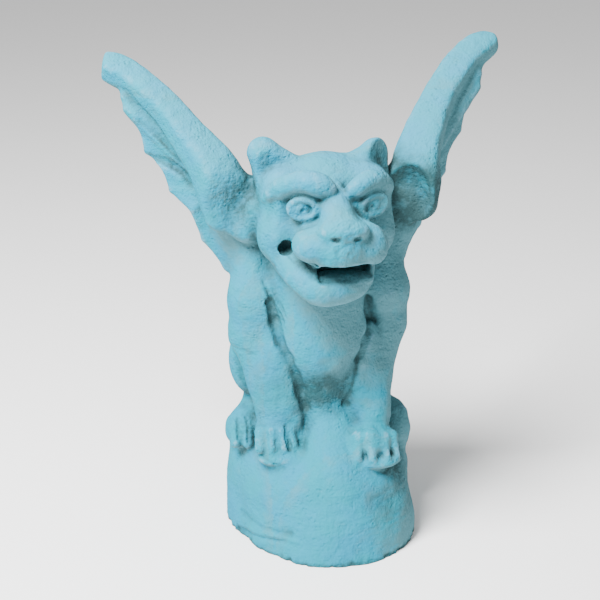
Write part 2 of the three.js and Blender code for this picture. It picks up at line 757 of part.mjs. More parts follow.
function solidOf(places, faces) {
  return new wasm.Manifold(
    new wasm.Mesh({
      numProp: 3,
      vertProperties: new Float32Array(places),
      triVerts: new Uint32Array(faces.flat()),
    }),
  );
}

function block(low, high) {
  const [width, depth, tall] = high.map((value, axis) => value - low[axis]);
  const box = new THREE.BoxGeometry(width, depth, tall);
  box.translate(...high.map((value, axis) => (value + low[axis]) / 2));
  const corners = [];
  const seen = new Map();
  const index = [...box.index.array].map((v) => {
    const place = [0, 1, 2].map((axis) => box.attributes.position.array[v * 3 + axis]);
    const key = place.join();
    if (!seen.has(key)) {
      seen.set(key, seen.size);
      corners.push(...place);
    }
    return seen.get(key);
  });
  const faces = [];
  for (let i = 0; i < index.length; i += 3) faces.push(index.slice(i, i + 3));
  return solidOf(corners, faces);
}

const rough = skin(gargoyle(), SPAN.low, SPAN.high, STEP);
const slim = thin(rough, FACES);
const below = block([SPAN.low[0], SPAN.low[1], SPAN.low[2] - FOOTING], [SPAN.high[0], SPAN.high[1], 0]);
const cut = solidOf(slim.places, slim.faces).subtract(below).getMesh();

const geometry = new THREE.BufferGeometry();
geometry.setAttribute("position", new THREE.BufferAttribute(new Float32Array(cut.vertProperties), 3));
geometry.setIndex([...cut.triVerts]);
geometry.computeVertexNormals();

const paint = new THREE.MeshStandardMaterial({ color: 0x7fc0cd, roughness: 0.85, metalness: 0 });
const statue = new THREE.Mesh(geometry, paint);
statue.name = "gargoyle_statue";

const group = new THREE.Group();
group.add(statue);

export default group;
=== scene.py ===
"""The looks of a cast garden gargoyle: its carved skin, its weathered paint with painted shade and
highlights, and a plain studio.

The statue is one casting, and its forms melt into each other, which primitives and edit-mode tools can't
give. So it is modelled as clay: each form is a function that gives the distance from a point to its surface,
negative inside, the forms are joined and carved softly, and a fine skin is drawn where the distance is
nothing. The clay is worked in millimetres, and the finished skin is in metres, in the frame's place.
"""

import math

import bpy
import numpy as np
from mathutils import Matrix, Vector


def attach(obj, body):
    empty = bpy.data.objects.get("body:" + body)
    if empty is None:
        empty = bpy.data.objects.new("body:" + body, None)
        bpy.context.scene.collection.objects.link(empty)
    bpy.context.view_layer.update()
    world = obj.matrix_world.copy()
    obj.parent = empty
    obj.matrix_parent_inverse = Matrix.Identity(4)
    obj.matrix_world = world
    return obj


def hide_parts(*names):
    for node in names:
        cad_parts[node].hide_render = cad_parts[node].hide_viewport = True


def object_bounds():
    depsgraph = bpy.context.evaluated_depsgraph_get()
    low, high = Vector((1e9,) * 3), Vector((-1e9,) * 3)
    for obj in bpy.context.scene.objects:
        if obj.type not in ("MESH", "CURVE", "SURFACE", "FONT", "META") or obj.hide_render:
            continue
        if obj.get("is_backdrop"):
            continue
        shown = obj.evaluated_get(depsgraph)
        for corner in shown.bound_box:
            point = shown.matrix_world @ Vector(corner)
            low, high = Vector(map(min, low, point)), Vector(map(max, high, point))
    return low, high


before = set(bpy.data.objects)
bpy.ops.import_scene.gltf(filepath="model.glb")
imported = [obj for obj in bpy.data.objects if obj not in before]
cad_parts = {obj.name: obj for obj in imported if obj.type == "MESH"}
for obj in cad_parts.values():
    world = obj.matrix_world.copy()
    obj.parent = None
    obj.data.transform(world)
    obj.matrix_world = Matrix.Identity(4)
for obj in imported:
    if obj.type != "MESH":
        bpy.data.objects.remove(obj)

bl_info = {
    "name": "Garden Gargoyle",
    "version": (1, 0, 0),
    "blender": (4, 5, 0),
    "location": "3D Viewport > Sidebar > Gargoyle",
    "description": "Models a cast, painted garden gargoyle on its plinth and sets it in a plain studio",
    "category": "Add Mesh",
}

CAD_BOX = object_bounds()
NODE = "gargoyle_statue"
MM = 0.001

# The studio: the floor's width in metres and its roughness, and the camera's sensor in millimetres
FLOOR_SIZE = 12
FLOOR_ROUGHNESS = 0.9
SENSOR_WIDTH = 36

# Driving dimensions of the clay, in millimetres. Places are given for the beast's left side, where x is
# positive; side is 1 there and -1 on its right. A fourth number is a radius.

# How softly forms melt into each other, from a step in the stone to a broad swelling
CRISP, CLOSE, FIRM, SOFT, BROAD, MASSIVE = 2, 3, 5, 8, 12, 18

PLINTH = {
    "half_width": 78.5,
    "half_depth": 97,
    "squareness": 2.2,
    "turn": 0.34,
    "height": 88,
    "rim": 26,
    "batter": 0.2,
    "swell": 5.5,
    "swell_at": 20,
    "swell_reach": 60,
    "fall": 0.03,
    "spare": 8,
}

TRUNK = {
    "rump": ((-2, 52, 134), (50, 40, 54)),
    "ribs": ((-2, 22, 185), (50, 44, 66)),
    "breast": ((-3, -8, 202), (40, 35, 58)),
    "belly": ((-3, -14, 182, 30), (-1, -10, 136, 24)),
    "core": ((-2, 24, 118), (46, 32, 44)),
    "loins": ((-2, 6, 138), (46, 27, 56)),
    "withers": ((-1, 20, 240), (57, 32, 34)),
    "neck": ((0, 14, 232, 46), (0, -4, 292, 46)),
}

# The right foreleg stands straighter and thicker, and the left one reaches further forward.
COLLAR = (59, 10, 278, 13)
FORELEG = {
    1: ((57, 2, 224, 24), (59, 0, 192, 20), (45, -18, 150, 17), (42, -33, 116, 16)),
    -1: ((57, 4, 224, 24), (60, 5, 188, 20), (46, -5, 150, 21), (43, -11, 118, 18)),
}
FOREARM = {
    1: (((35, -19, 172), (14, 14, 36)), ((30, -23, 138), (14, 14, 30))),
    -1: (((49, -8, 206), (17, 13, 32)), ((44, -13, 172), (16, 15, 28)), ((33, -18, 138), (15, 15, 34))),
}
PAW = {1: (38.5, -45, 99), -1: (47, -21, 102)}
PAW_RADII = {1: (18, 22, 14), -1: (17, 16, 12)}
# How far each forepaw's toes reach, how far they bend down and how blunt they are, and then for each toe
# how far it stands to the side and how thick it is
FORE_REACH = {1: (25, 10, 0.5), -1: (20, 8, 0.9)}
FORE_TOES = {
    1: ((-17.5, 6.4), (-5.5, 7.5), (8.5, 5.4), (18.5, 5)),
    -1: ((-15, 5.2), (-5, 5.6), (5.5, 5.2), (15, 5.2)),
}
# A toe runs from its root in the paw over its knuckle to its end. It is set back by a share of how far it
# stands to the side. For the root: its share of that, and its height and thickness as shares of the toe's
# thickness. For the knuckle: its share of that, its share of the toe's reach, and its height.
TOE = {"set_back": 0.3, "root": (0.6, 1.1, 0.8), "knuckle": (0.85, 0.6, 0.85)}

# The ground rises to the belly, and juts out under the forepaws and round the left hind foot.
MOUND = ((6, -21, 99, 26), (2, -50, 66, 30))
LEDGES = (
    ((41, -56, 83.5), (23, 16, 6)), ((-42, -35, 84), (22, 16, 8)), ((-38, -3, 98), (20, 24, 18)),
    ((-25, -18, 96), (10, 14, 15)),
)
BANK = ((64, 4, 84), (22, 28, 21))

HAUNCH = ((-57, 22, 158), (22, 20, 36))
THIGH_MIDDLE = -4
THIGH = ((34, 50, 146, 36), (48, 22, 154, 19), (42, 32, 112, 14))
HIND_FOOT = (68, 10, 94, 18)
HIND_REACH = (20, 6, 0.75)
HIND_TOES = ((-10.5, 7), (0, 7), (10.5, 7))

TAIL = ((0, 86, 112, 13), (22, 89, 98, 11), (50, 76, 94, 9), (66, 54, 94, 7))

# Furrows run down between the breast and the forelegs, and behind the elbow.
FURROW = {
    1: (
        (38, -17.5, 221, 4), (42, -20.5, 202, 4.5), (35, -31, 187, 1.6), (29, -32.6, 169, 1.2),
        (25, -35.6, 146, 1.2), (18, -31.6, 128, 1.5),
    ),
    -1: (
        (50, -19.5, 226, 2.4), (45, -19.5, 208, 3.4), (41, -25, 189, 2.5), (34, -31, 177, 2.2),
        (29, -31.5, 161, 2.5), (24, -30, 143, 3), (19, -28, 126, 2.5),
    ),
}
ELBOW = ((-79, 8, 174, 2), (-75, 6, 162, 3), (-71, 4, 150, 3.5), (-66, 3, 136, 3))

HEAD_MIDDLE = -2
HEAD = {
    "skull": ((-1, -16, 306), (54, 46, 50)),
    "temple": ((38, -28, 326), (19, 24, 22)),
    "cheek": ((39, -32, 291), (21, 24, 25)),
    "throat": ((-6, -28, 265), (39, 34, 23)),
    "jaw": ((-7, -34, 268, 34), (-8, -60, 264, 24)),
    "snout": ((-2, -40, 298, 35), (-3, -84, 295, 26)),
    "right_lip": ((-22, -82, 296), (20, 21, 15.5)),
    "left_lip": ((18, -82, 292), (21, 21, 18)),
    "shoulder": ((11, -56, 322, 9), (19, -82, 302, 12)),
    "bridge": ((-2, -54, 331, 11), (-4, -90, 313, 15)),
    "nose": ((-2, -98, 311), (21, 13, 10)),
    "nostril": ((9.5, -109, 306.5), (4.2, 4, 2)),
}
CHIN = (
    (25, -44, 272, 12), (17, -68, 260, 12), (5, -78, 257, 12.5), (-13, -82, 256, 12.5), (-24, -77, 259, 12),
    (-33, -66, 267, 12), (-40, -44, 276, 12),
)
CHIN_PIECES = 12

# The mouth is open widest on the right and narrows to the left, and a crease runs up from it to a deep
# corner.
MOUTH = ((8, -96, 273.5), (29, 31, 9))
MOUTH_ROUND = 3
MOUTH_ENDS = (((20, -90, 281), (0.24, 0, 0.97)), ((24, -90, 267), (0.74, 0, -0.67)))
TONGUE = ((-2, -77, 262), (31, 12.5, 8.5))
SMILE = ((-41, -55, 286, 3), (-40, -68, 285, 2), (-35, -82, 284, 1.6), (-24, -94, 282.5, 1.6))
MOUTH_CORNER = ((-41.5, -54, 286), (6, 7.5, 6.2))

EYE_SPREAD = 29.7
EYE_FALL = 0.35
EYE = {
    "socket": ((EYE_SPREAD, -74, 321), (17, 11, 12)),
    "ball": ((EYE_SPREAD, -57.5, 321), (11, 8.5, 9.5)),
    "pupil": ((EYE_SPREAD, -67, 320.5), (2.4, 3.5, 2.4)),
    "corner": ((14.5, -57.5, 323), (8, 12.5, 9)),
    "lid": ((40, -53.5, 334, 5.4), (20, -60, 333.5, 6.2)),
}

# Rings of thick lids lie round the eyes: their middles, how wide and how tall, their turn and thickness.
LIDS = {1: ((31, -64.2, 321), 12, 8.5, 0.25, 2.2), -1: ((-29.5, -65.2, 321.5), 10.5, 8.5, 0, 2)}
LID_PIECES = 18

# The right brow is a heavy hood, and the left one a slanting ridge that bends down outside.
BROW = {
    1: ((50, -38, 329, 5), (40, -53, 338, 7), (28, -61, 342, 7.5), (16, -66, 337, 6.5), (8, -68, 331, 4)),
    -1: ((54, -38, 326, 5), (45, -52, 337, 7), (31, -62, 344, 8), (18, -68, 343, 8.5), (9, -70, 338, 7)),
}
BROW_PIECES = 8

EAR_ROOT = (42, -12, 330, 19)
EAR = {
    1: {"tip": (48, -8, 350, 13), "slope": (25, -12, 342, 11)},
    -1: {"tip": (52, -10, 357, 12.5), "slope": (27, -14, 345, 10)},
}
EAR_HOLLOW = ((-51, -37, 345), (20, 16, 19))
EAR_FACE = ((44, -16, 350), (0.63, -0.74, 0.22))

# Each wing is a bowed arm, squarish in section, that ends below in a scooped hollow, with a thin pleated web
# behind it. The web fans out from the fold to a scalloped edge. The right wing's arm is slimmer and hangs
# lower.
WING = {
    "arm": (
        (172, 83, 421, 11.5), (155, 75, 413, 12), (138, 61, 400, 12.5), (122, 47, 385, 13),
        (108, 31, 367, 14.5), (94, 15, 347, 17.5), (86, 4, 328, 20), (85, -4, 306, 18),
    ),
    "pieces": 14,
    "edge": (-0.247, -0.617, 0.744),
    "flatness": 1.2,
    "squareness": 4,
    "cuff": ((86, 2, 322, 18), (62, 8, 314, 17), (56, 8, 288, 15)),
    "fold": (90, 16, 318),
    "web": (
        (118, 44, 372), (162, 78, 410), (161, 65, 397), (159, 61, 387), (146, 57, 369), (143, 56, 350),
        (128, 42, 336), (124, 38, 318), (108, 26, 303), (98, 30, 273), (87, 27, 260), (80, 24, 246),
    ),
    "thickness": 4.2,
    "root": ((80, 12, 306, 18), (60, 20, 254, 21)),
    "slant": 0.04,
    "shift": 1.5,
}
WING_GIRTH = {1: 1, -1: 0.92}
WING_BOW = {1: 3, -1: -4}
WEB_BOW = {1: 5, -1: 0}
WING_MELT = {1: 7, -1: 2}
WING_CUT = {1: ((171, 84, 433.5), (0.15, 0.1, 0.98)), -1: ((178, 84, 421), (0.97, 0.2, 0.15))}
SCOOP = {1: ((72, -24, 309), (24, 25, 39), CLOSE), -1: ((74, -45, 315), (45, 36, 46), BROAD)}
NAPE = ((-56, -14, 310, 13), (-66, -6, 290, 13))

# Grooves drawn in the surface: where each runs, how wide it is and how deep. A negative depth raises a ridge.
GROOVES = (
    # The lip's crease, the rough furrow below the nose, and the fold and rim behind the cheek
    (((-42, -54, 286), (-42, -68, 286), (-37, -82, 285), (-26, -95, 283.5)), 1.6, 1.4),
    (((6, -109, 302), (4, -109, 297), (5, -108, 290)), 2.2, 0.6),
    (((-11, -109, 297), (-10.5, -109, 296)), 2, 1.0),
    (((0, -110, 295), (1, -110, 294)), 1.8, 1.0),
    (((-30, -104, 297), (-29, -104, 296)), 2.4, 0.6),
    ((
        (-50, -57, 334), (-52, -47, 321), (-55, -45, 306), (-56, -48, 292), (-52, -54, 279), (-44, -65, 270),
    ), 3.4, 0.7),
    (((-46, -55, 330), (-47, -52, 318), (-49, -52, 306), (-50, -54, 294)), 4, -0.8),
    # The web's folds, which run in from its edge
    (((-149, 50, 374), (-141, 45, 366), (-133, 40, 359), (-124, 34, 350), (-118, 30, 343)), 3.6, 2.2),
    (((-141, 50, 343), (-133, 44, 341), (-124, 37, 338), (-116, 30, 332), (-110, 25, 325)), 3.8, 2.4),
    (((-161, 63, 398), (-148, 53, 383), (-136, 43, 368), (-125, 35, 350)), 3.5, 1.2),
    (((-146, 48, 366), (-136, 42, 357), (-126, 36, 347)), 4, -1.0),
    (((-136, 47, 336), (-126, 40, 333), (-117, 32, 327)), 4, -1.0),
    # Toes of the right forepaw and of the right hind foot, and the edge below the paw
    (((-38, -33, 112), (-37.5, -40, 104), (-36, -43, 94)), 1.3, 2.0),
    (((-47, -36, 111), (-47, -42, 103), (-46, -43, 94)), 1.3, 1.0),
    (((-56, -36, 110), (-56, -41, 102), (-55, -42, 94)), 1.3, 1.0),
    (((-66, -34, 92), (-58, -43, 87), (-50, -49, 83)), 1.3, 1.2),
    (((-76, 2, 109), (-77, -7, 100), (-77, -10, 93)), 1.2, 1.6),
    (((-68, 0, 108), (-68, -10, 99), (-69, -15, 90)), 1.2, 1.6),
    # The line between the breast and the left foreleg
    (((31, -30, 184), (27, -32, 172), (25, -33, 158), (21, -34, 142), (15, -32, 127)), 1.1, 1.4),
    # Scratches in the furrow, at the elbow and in the armpit
    (((-50, -18, 236), (-45, -20, 224), (-38, -25, 208)), 1.6, 1.4),
    (((-46, -20, 238), (-42, -22, 226), (-36, -26, 214)), 1.2, 1.2),
    (((-54, -14, 244), (-50, -18, 232), (-44, -19, 216)), 1.5, 1.2),
    (((-78, -2, 180), (-72, -13, 179), (-66, -18, 177)), 1.8, 0.7),
    (((40, -11, 218), (48, -10, 200), (52, -22, 190)), 2.4, 0.6),
    # Tool marks low on the plinth
    (((-79, -12, 4), (-64, -50, 12), (-47, -71, 18)), 2.2, 1.6),
    (((-78, -16, 22), (-63, -49, 21), (-42, -73, 25)), 2.6, 1.3),
    (((-74, -26, 12), (-60, -54, 17), (-38, -79, 20)), 2.4, -1.3),
)
GROOVE_REACH = 9

# Beds of thick paint in the slits under the brows, between the toes of the left forepaw and on the right
# wrist, and a run of it down the left foreleg
PAINT_BEDS = (
    ((-23, -62, 330), (9, 5.5, 4)), ((25, -61, 330), (9, 5, 4)), ((27, -54, 92), (5, 8, 8)),
    ((40, -54, 92), (5, 8, 8)), ((52, -52, 93), (5, 8, 8)), ((-28, -20, 112), (9, 12, 14)),
)
PAINT_RUN = ((41, -19, 196, 5), (36, -23, 182, 6), (32, -28, 165, 6), (28, -30, 148, 6), (22, -29, 134, 5))

# Soft dents, or swellings where the depth is negative: a place, how wide and how deep
DENTS = (
    ((-16, -43, 182), 5, 1.4), ((-6, -43, 174), 7, 1.2), ((-2, -38, 149), 13, 3), ((6, -42, 172), 8, -1.2),
    ((-3, -96, 322), 6, 0.8), ((-30, -90, 300), 5, 0.7), ((-30, -104, 60), 16, 1.5),
    ((-50, -51, 80), 10, 1.5), ((-29.5, -66, 321), 7, -1.4), ((29.7, -66, 321), 7, -1.2),
)

# Rough patches, pitted by the mould: a place, how wide and how deep the pits are. The pits come in two sizes:
# how wide they are, and how much of each there is.
ROUGH = (
    ((-76, -12, 314), 26, 1.4), ((78, -10, 318), 24, 0.4), ((-52, -18, 346), 15, 0.5),
    ((-3, -106, 314), 17, 1.0), ((-3, -108, 296), 12, 0.7), ((-40, -46, 286), 12, 1.2),
    ((40, -60, 344), 16, 0.7), ((-74, -4, 100), 16, 1.4), ((-30, -64, 322), 12, 0.6),
    ((-20, -84, 266), 8, 1.2), ((-48, -18, 222), 14, 0.8),
)
PITS = ((4, 1), (2.4, 0.6))

# Painted shade and dirt that the hollows alone don't account for: a place, how far it spreads and how strong
# it is. A negative strength lightens the place with painted light.
SHADE_AND_GRIME = (
    ((-4, -36, 146), 20, 1.0), ((80, -8, 312), 26, 2.1), ((-68, -12, 318), 22, 0.5),
    ((50, -20, 350), 14, 0.9), ((40, -14, 208), 14, 0.15), ((-46, -16, 214), 12, 0.1),
    ((-26, -28, 140), 12, 0.15), ((-72, 22, 150), 24, 0.2), ((12, -72, 278), 16, 0.25),
    ((-165, 80, 402), 12, 0.5), ((-41, -46, 286), 8, 0.1), ((-29, -64, 321), 11, -0.5),
    ((30, -64, 321), 11, -0.45), ((38, -64, 92), 22, -0.5), ((42, -56, 302), 18, -0.5),
    ((-8, -42, 212), 24, -0.5), ((-44, -18, 150), 34, 0.4), ((36, -26, 140), 24, 0.4),
    ((62, -62, 52), 42, 0.55),
)
# How far ahead of the surface its hollows are felt, and how much dirt and painted shade each reach holds
HOLLOWS = ((4, 0.25), (12, 0.3), (30, 0.3))
# The ways along the surface are taken square to this slant.
SLANT = (0.31, 0.59, 0.74)
# How far round a place its bend is felt, the most dirt and painted shade that a crease holds, how deep a
# mark counts and how much dirt and painted shade it holds to the millimetre, and how strongly a ridge is
# rubbed
BEND_REACH = 4
CREASE_DIRT_AND_SHADE = 0.25
MARK_DEEPEST = 2
MARK_DIRT_AND_SHADE = 0.15
RIDGE_WEAR = 4
# How high the darkening at the foot reaches, and how strong it is
FOOT_DARKENING = (3, 0.9)

# Roughly the way towards the key light, and how squarely a face must meet it to stay clear of painted shade
KEY_LIGHT_WAY = np.array((-0.557, -0.435, 0.707))
SHADE_START = 0.5
# The statue's own shadow from the key light, painted on as shade, is looked for at these distances towards
# the light, from just off the surface, and it spreads out by this share of the distance.
SHADOW_REACHES = (5, 9, 15, 24, 36, 52, 75, 105)
SHADOW_START = 2
SHADOW_SPREAD = 0.3
# Between these heights a painted highlight grows, and it is strongest where the surface faces up.
HIGHLIGHT_HEIGHTS = (180, 330)
HIGHLIGHT_GAIN = 1.3

# The surface's own unevenness: how wide and how high its swellings are, down to the grain
SWELLINGS = ((26, 0.7), (11, 0.3), (5, 0.12))
# The plinth's own: its swellings, its strokes with how their places are scaled, and how far below its top
# they set in
PLINTH_SWELLING = (34, 3.0)
STROKES = (5, 0.3, (0.35, 0.35, 1.6))
PLINTH_FADE = 20
# The chips at its foot: how high they reach, how wide and how deep they are, and what is added to the noise,
# so that they cover more than half of it
CHIPS = (5, 6, 2.4)
CHIP_SHARE = 0.15
# Where each kind of unevenness is read in the noise, so that no two fall together
ELSEWHERE = {"pits": 300, "plinth": 500, "chips": 900}
# The noise's seed, how many random slopes it draws on, and what brings it to about -1 to 1
NOISE_SEED = 7
NOISE_WAYS = 256
NOISE_GAIN = 1.7

# The span of the clay, the boxes outside of which its great parts aren't worked out, and how far off a part
# counts as when it is outside its box. The body's box ends in the head, near the neck's top.
SPAN = ((-206, -134, -12), (206, 118, 450))
ZONES = {
    "body": ((-115, -110, 50), (115, 130, 320)),
    "left_wing": ((10, -60, 205), (220, 130, 470)),
    "right_wing": ((-220, -60, 205), (-10, 130, 470)),
    "head": ((-90, -140, 210), (90, 60, 400)),
}
CLEAR = 20

BLOCK_MARGIN = 1.1
SLIVER = 0.02
NUDGE = 0.25
LEAST_SLOPE = 0.3
SHARP_ANGLE = math.radians(70)


# Clay

def ellipsoid(at, radii):
    (cx, cy, cz), (rx, ry, rz) = at, radii

    def form(x, y, z):
        px, py, pz = (x - cx) / rx, (y - cy) / ry, (z - cz) / rz
        near = np.sqrt(px * px + py * py + pz * pz)
        slope = np.sqrt((px / rx) ** 2 + (py / ry) ** 2 + (pz / rz) ** 2)
        return near * (near - 1) / np.maximum(slope, 1e-6)

    return form


def slab(at, halves, corner):
    """A block with round corners and edges."""
    def form(x, y, z):
        out = [np.abs(p - c) - half + corner for p, c, half in zip((x, y, z), at, halves)]
        past = [np.maximum(n, 0) for n in out]
        return np.sqrt(sum(n * n for n in past)) + np.minimum(np.maximum.reduce(out), 0) - corner

    return form


def share_along(a, b):
    """How far along the line from a to b a point lies, from 0 to 1."""
    dx, dy, dz = (b[i] - a[i] for i in range(3))
    span = dx * dx + dy * dy + dz * dz

    def share(x, y, z):
        return np.clip(((x - a[0]) * dx + (y - a[1]) * dy + (z - a[2]) * dz) / span, 0, 1)

    return share


def taper(a, b):
    """A limb between two places, each with its own radius."""
    share = share_along(a, b)
    dx, dy, dz, dr = (b[i] - a[i] for i in range(4))

    def form(x, y, z):
        t = share(x, y, z)
        px, py, pz = x - a[0] - t * dx, y - a[1] - t * dy, z - a[2] - t * dz
        return np.sqrt(px * px + py * py + pz * pz) - a[3] - t * dr

    return form


def blade(a, b, facing, factor, squareness=2):
    """A limb that is flatter by a factor along one direction, with a round or squarish section."""
    share = share_along(a, b)

    def form(x, y, z):
        t = share(x, y, z)
        px, py, pz = (p - a[i] - t * (b[i] - a[i]) for i, p in enumerate((x, y, z)))
        off = px * facing[0] + py * facing[1] + pz * facing[2]
        wide = np.sqrt(np.maximum(px * px + py * py + pz * pz - off * off, 0))
        thick = np.abs(off) * factor
        size = (wide ** squareness + thick ** squareness) ** (1 / squareness)
        return (size - a[3] - t * (b[3] - a[3])) / math.sqrt(factor)

    return form


def panel(a, b, c, thickness):
    """A flat triangle with round edges."""
    corners = [np.array(corner, float) for corner in (a, b, c)]
    across = np.cross(corners[1] - corners[0], corners[2] - corners[0])
    across /= np.linalg.norm(across)
    sides = []
    for start, end in zip(corners, corners[1:] + corners[:1]):
        sides.append((start, end - start, np.cross(across, end - start)))

    def form(x, y, z):
        nearest, within = np.full(np.shape(x), np.inf), True
        for start, run, inward in sides:
            px, py, pz = x - start[0], y - start[1], z - start[2]
            within = within & (px * inward[0] + py * inward[1] + pz * inward[2] >= 0)
            t = np.clip((px * run[0] + py * run[1] + pz * run[2]) / (run @ run), 0, 1)
            qx, qy, qz = px - t * run[0], py - t * run[1], pz - t * run[2]
            nearest = np.minimum(nearest, qx * qx + qy * qy + qz * qz)
        px, py, pz = x - corners[0][0], y - corners[0][1], z - corners[0][2]
        off = np.abs(px * across[0] + py * across[1] + pz * across[2])
        return np.where(within, off, np.sqrt(nearest)) - thickness

    return form


def beyond(at, way):
    """Everything past a flat face."""
    def form(x, y, z):
        return (at[0] - x) * way[0] + (at[1] - y) * way[1] + (at[2] - z) * way[2]

    return form


def smooth_min(a, b, blend):
    """The lesser of two distances, rounded off where they differ by less than the blend."""
    share = np.maximum(blend - np.abs(a - b), 0)
    return np.minimum(a, b) - share * share / (4 * blend)


def join(blend, *forms):
    """Forms that melt into each other."""
    def form(x, y, z):
        whole = forms[0](x, y, z)
        for part in forms[1:]:
            whole = smooth_min(whole, part(x, y, z), blend)
        return whole

    return form


def carve(blend, body, *tools):
    """What is left of a body when tools are sunk in it."""
    def form(x, y, z):
        rest = -body(x, y, z)
        for tool in tools:
            rest = smooth_min(rest, tool(x, y, z), blend)
        return -rest

    return form


def zoned(name, form):
    """A form that is only worked out in its own box."""
    low, high = ZONES[name]

    def zone(x, y, z):
        out = np.maximum.reduce([low[0] - x, x - high[0], low[1] - y, y - high[1], low[2] - z, z - high[2]])
        near = out < 0
        result = out + CLEAR
        result[near] = form(x[near], y[near], z[near])
        return result

    return zone


def limb(blend, path):
    """A limb through many places, each with its own radius."""
    return join(blend, *(taper(a, b) for a, b in zip(path, path[1:])))


def curve_point(path, share):
    """A place on the smooth curve through a path's places, with the radius there."""
    last = len(path) - 1
    i = min(int(share * last), last - 1)
    t = share * last - i
    here, there = np.array(path[i], float), np.array(path[i + 1], float)
    before = np.array(path[i - 1], float) if i > 0 else 2 * here - there
    after = np.array(path[i + 2], float) if i + 2 <= last else 2 * there - here
    bend = 2 * before - 5 * here + 4 * there - after
    twist = 3 * (here - there) + after - before
    return here + 0.5 * t * (there - before + t * (bend + t * twist))


def bowed(blend, path, pieces):
    """A limb along a smooth curve through its places, in so many straight pieces."""
    return limb(blend, [curve_point(path, i / pieces) for i in range(pieces + 1)])


def ring(middle, width, height, turn, thickness):
    """A thin limb that runs round an upright oval."""
    path = []
    for i in range(LID_PIECES + 1):
        angle = 2 * math.pi * i / LID_PIECES
        across, up = width * math.cos(angle), height * math.sin(angle)
        x = middle[0] + across * math.cos(turn) - up * math.sin(turn)
        z = middle[2] + across * math.sin(turn) + up * math.cos(turn)
        path.append((x, middle[1] + EYE_FALL * abs(x) - EYE_FALL * abs(middle[0]), z, thickness))
    return limb(CRISP, path)


def sided(place, side):
    """A place on the beast's left, or its mirror image on the right."""
    return (place[0] * side, *place[1:])


def mirrored(path, side):
    return [sided(place, side) for place in path]


def plinth():
    """A round block, a little deeper than wide and turned a little. Its soft rim falls to the left front."""
    p = PLINTH

    def form(x, y, z):
        across = np.abs(x + y * p["turn"]) / p["half_width"]
        along = np.abs(y - x * p["turn"]) / p["half_depth"]
        rounded = (across ** p["squareness"] + along ** p["squareness"]) ** (1 / p["squareness"])
        swell = p["swell"] * (1 - ((z - p["swell_at"]) / p["swell_reach"]) ** 2)
        side = (rounded - 1) * p["half_width"] - swell + p["batter"] * z * np.clip(-y / p["half_depth"], 0, 1)
        top = z - p["height"] + p["fall"] * (x - y) / 2
        out, up = np.maximum(side + p["rim"], 0), np.maximum(top + p["rim"], 0)
        worn = np.minimum(np.maximum(side, top) + p["rim"], 0) + np.sqrt(out * out + up * up) - p["rim"]
        return np.maximum(worn, -p["spare"] - z)

    return form


def trunk():
    lumps = [ellipsoid(*TRUNK[name]) for name in ("rump", "ribs", "breast", "core", "loins", "withers")]
    return join(MASSIVE, *lumps, taper(*TRUNK["belly"]), taper(*TRUNK["neck"]))


def toes(at, side, reach, drop, bluntness, widths):
    """Toes fan forward from a paw, and bend down at the knuckle."""
    x, y, z = at
    root_lean, root_rise, root_girth = TOE["root"]
    knuckle_lean, knuckle_reach, knuckle_rise = TOE["knuckle"]
    made = []
    for lean, radius in widths:
        ahead = y + abs(lean) * TOE["set_back"]
        root = (x + lean * root_lean, ahead, z + radius * root_rise, radius * root_girth)
        knuckle = (x + lean * knuckle_lean, ahead - reach * knuckle_reach, z + radius * knuckle_rise, radius)
        end = (x + lean, ahead - reach, z - drop, radius * bluntness)
        made.append(limb(CRISP, mirrored((root, knuckle, end), side)))
    return made


def foreleg(side):
    leg = limb(SOFT, mirrored((COLLAR, *FORELEG[side]), side))
    pad = ellipsoid(sided(PAW[side], side), PAW_RADII[side])
    return join(CLOSE, join(SOFT, leg, pad), *toes(PAW[side], side, *FORE_REACH[side], FORE_TOES[side]))


def hind_leg(side):
    thigh = [(THIGH_MIDDLE + side * x, *rest) for x, *rest in THIGH]
    leg = limb(BROAD, [*thigh, sided(HIND_FOOT, side)])
    return join(CLOSE, leg, *toes(HIND_FOOT[:3], side, *HIND_REACH, HIND_TOES))


def body():
    forearms = [ellipsoid(sided(at, side), radii) for side in (-1, 1) for at, radii in FOREARM[side]]
    forward = join(SOFT, join(BROAD, trunk(), taper(*MOUND)), foreleg(-1), foreleg(1), *forearms)
    rest = [ellipsoid(*form) for form in (HAUNCH, *LEDGES, BANK)]
    whole = join(FIRM, forward, hind_leg(-1), hind_leg(1), *rest, limb(SOFT, TAIL))
    furrows = [limb(FIRM, mirrored(FURROW[side], side)) for side in (-1, 1)]
    return carve(FIRM, whole, *furrows, limb(FIRM, ELBOW))


def ear(side):
    """The left ear has a flat face, and the right one a hollow."""
    root, tip, slope = mirrored((EAR_ROOT, EAR[side]["tip"], EAR[side]["slope"]), side)
    leaf = join(FIRM, taper(root, tip), taper(slope, tip))
    if side == 1:
        return carve(CRISP, leaf, beyond(*EAR_FACE))
    return carve(FIRM, leaf, ellipsoid(*EAR_HOLLOW))


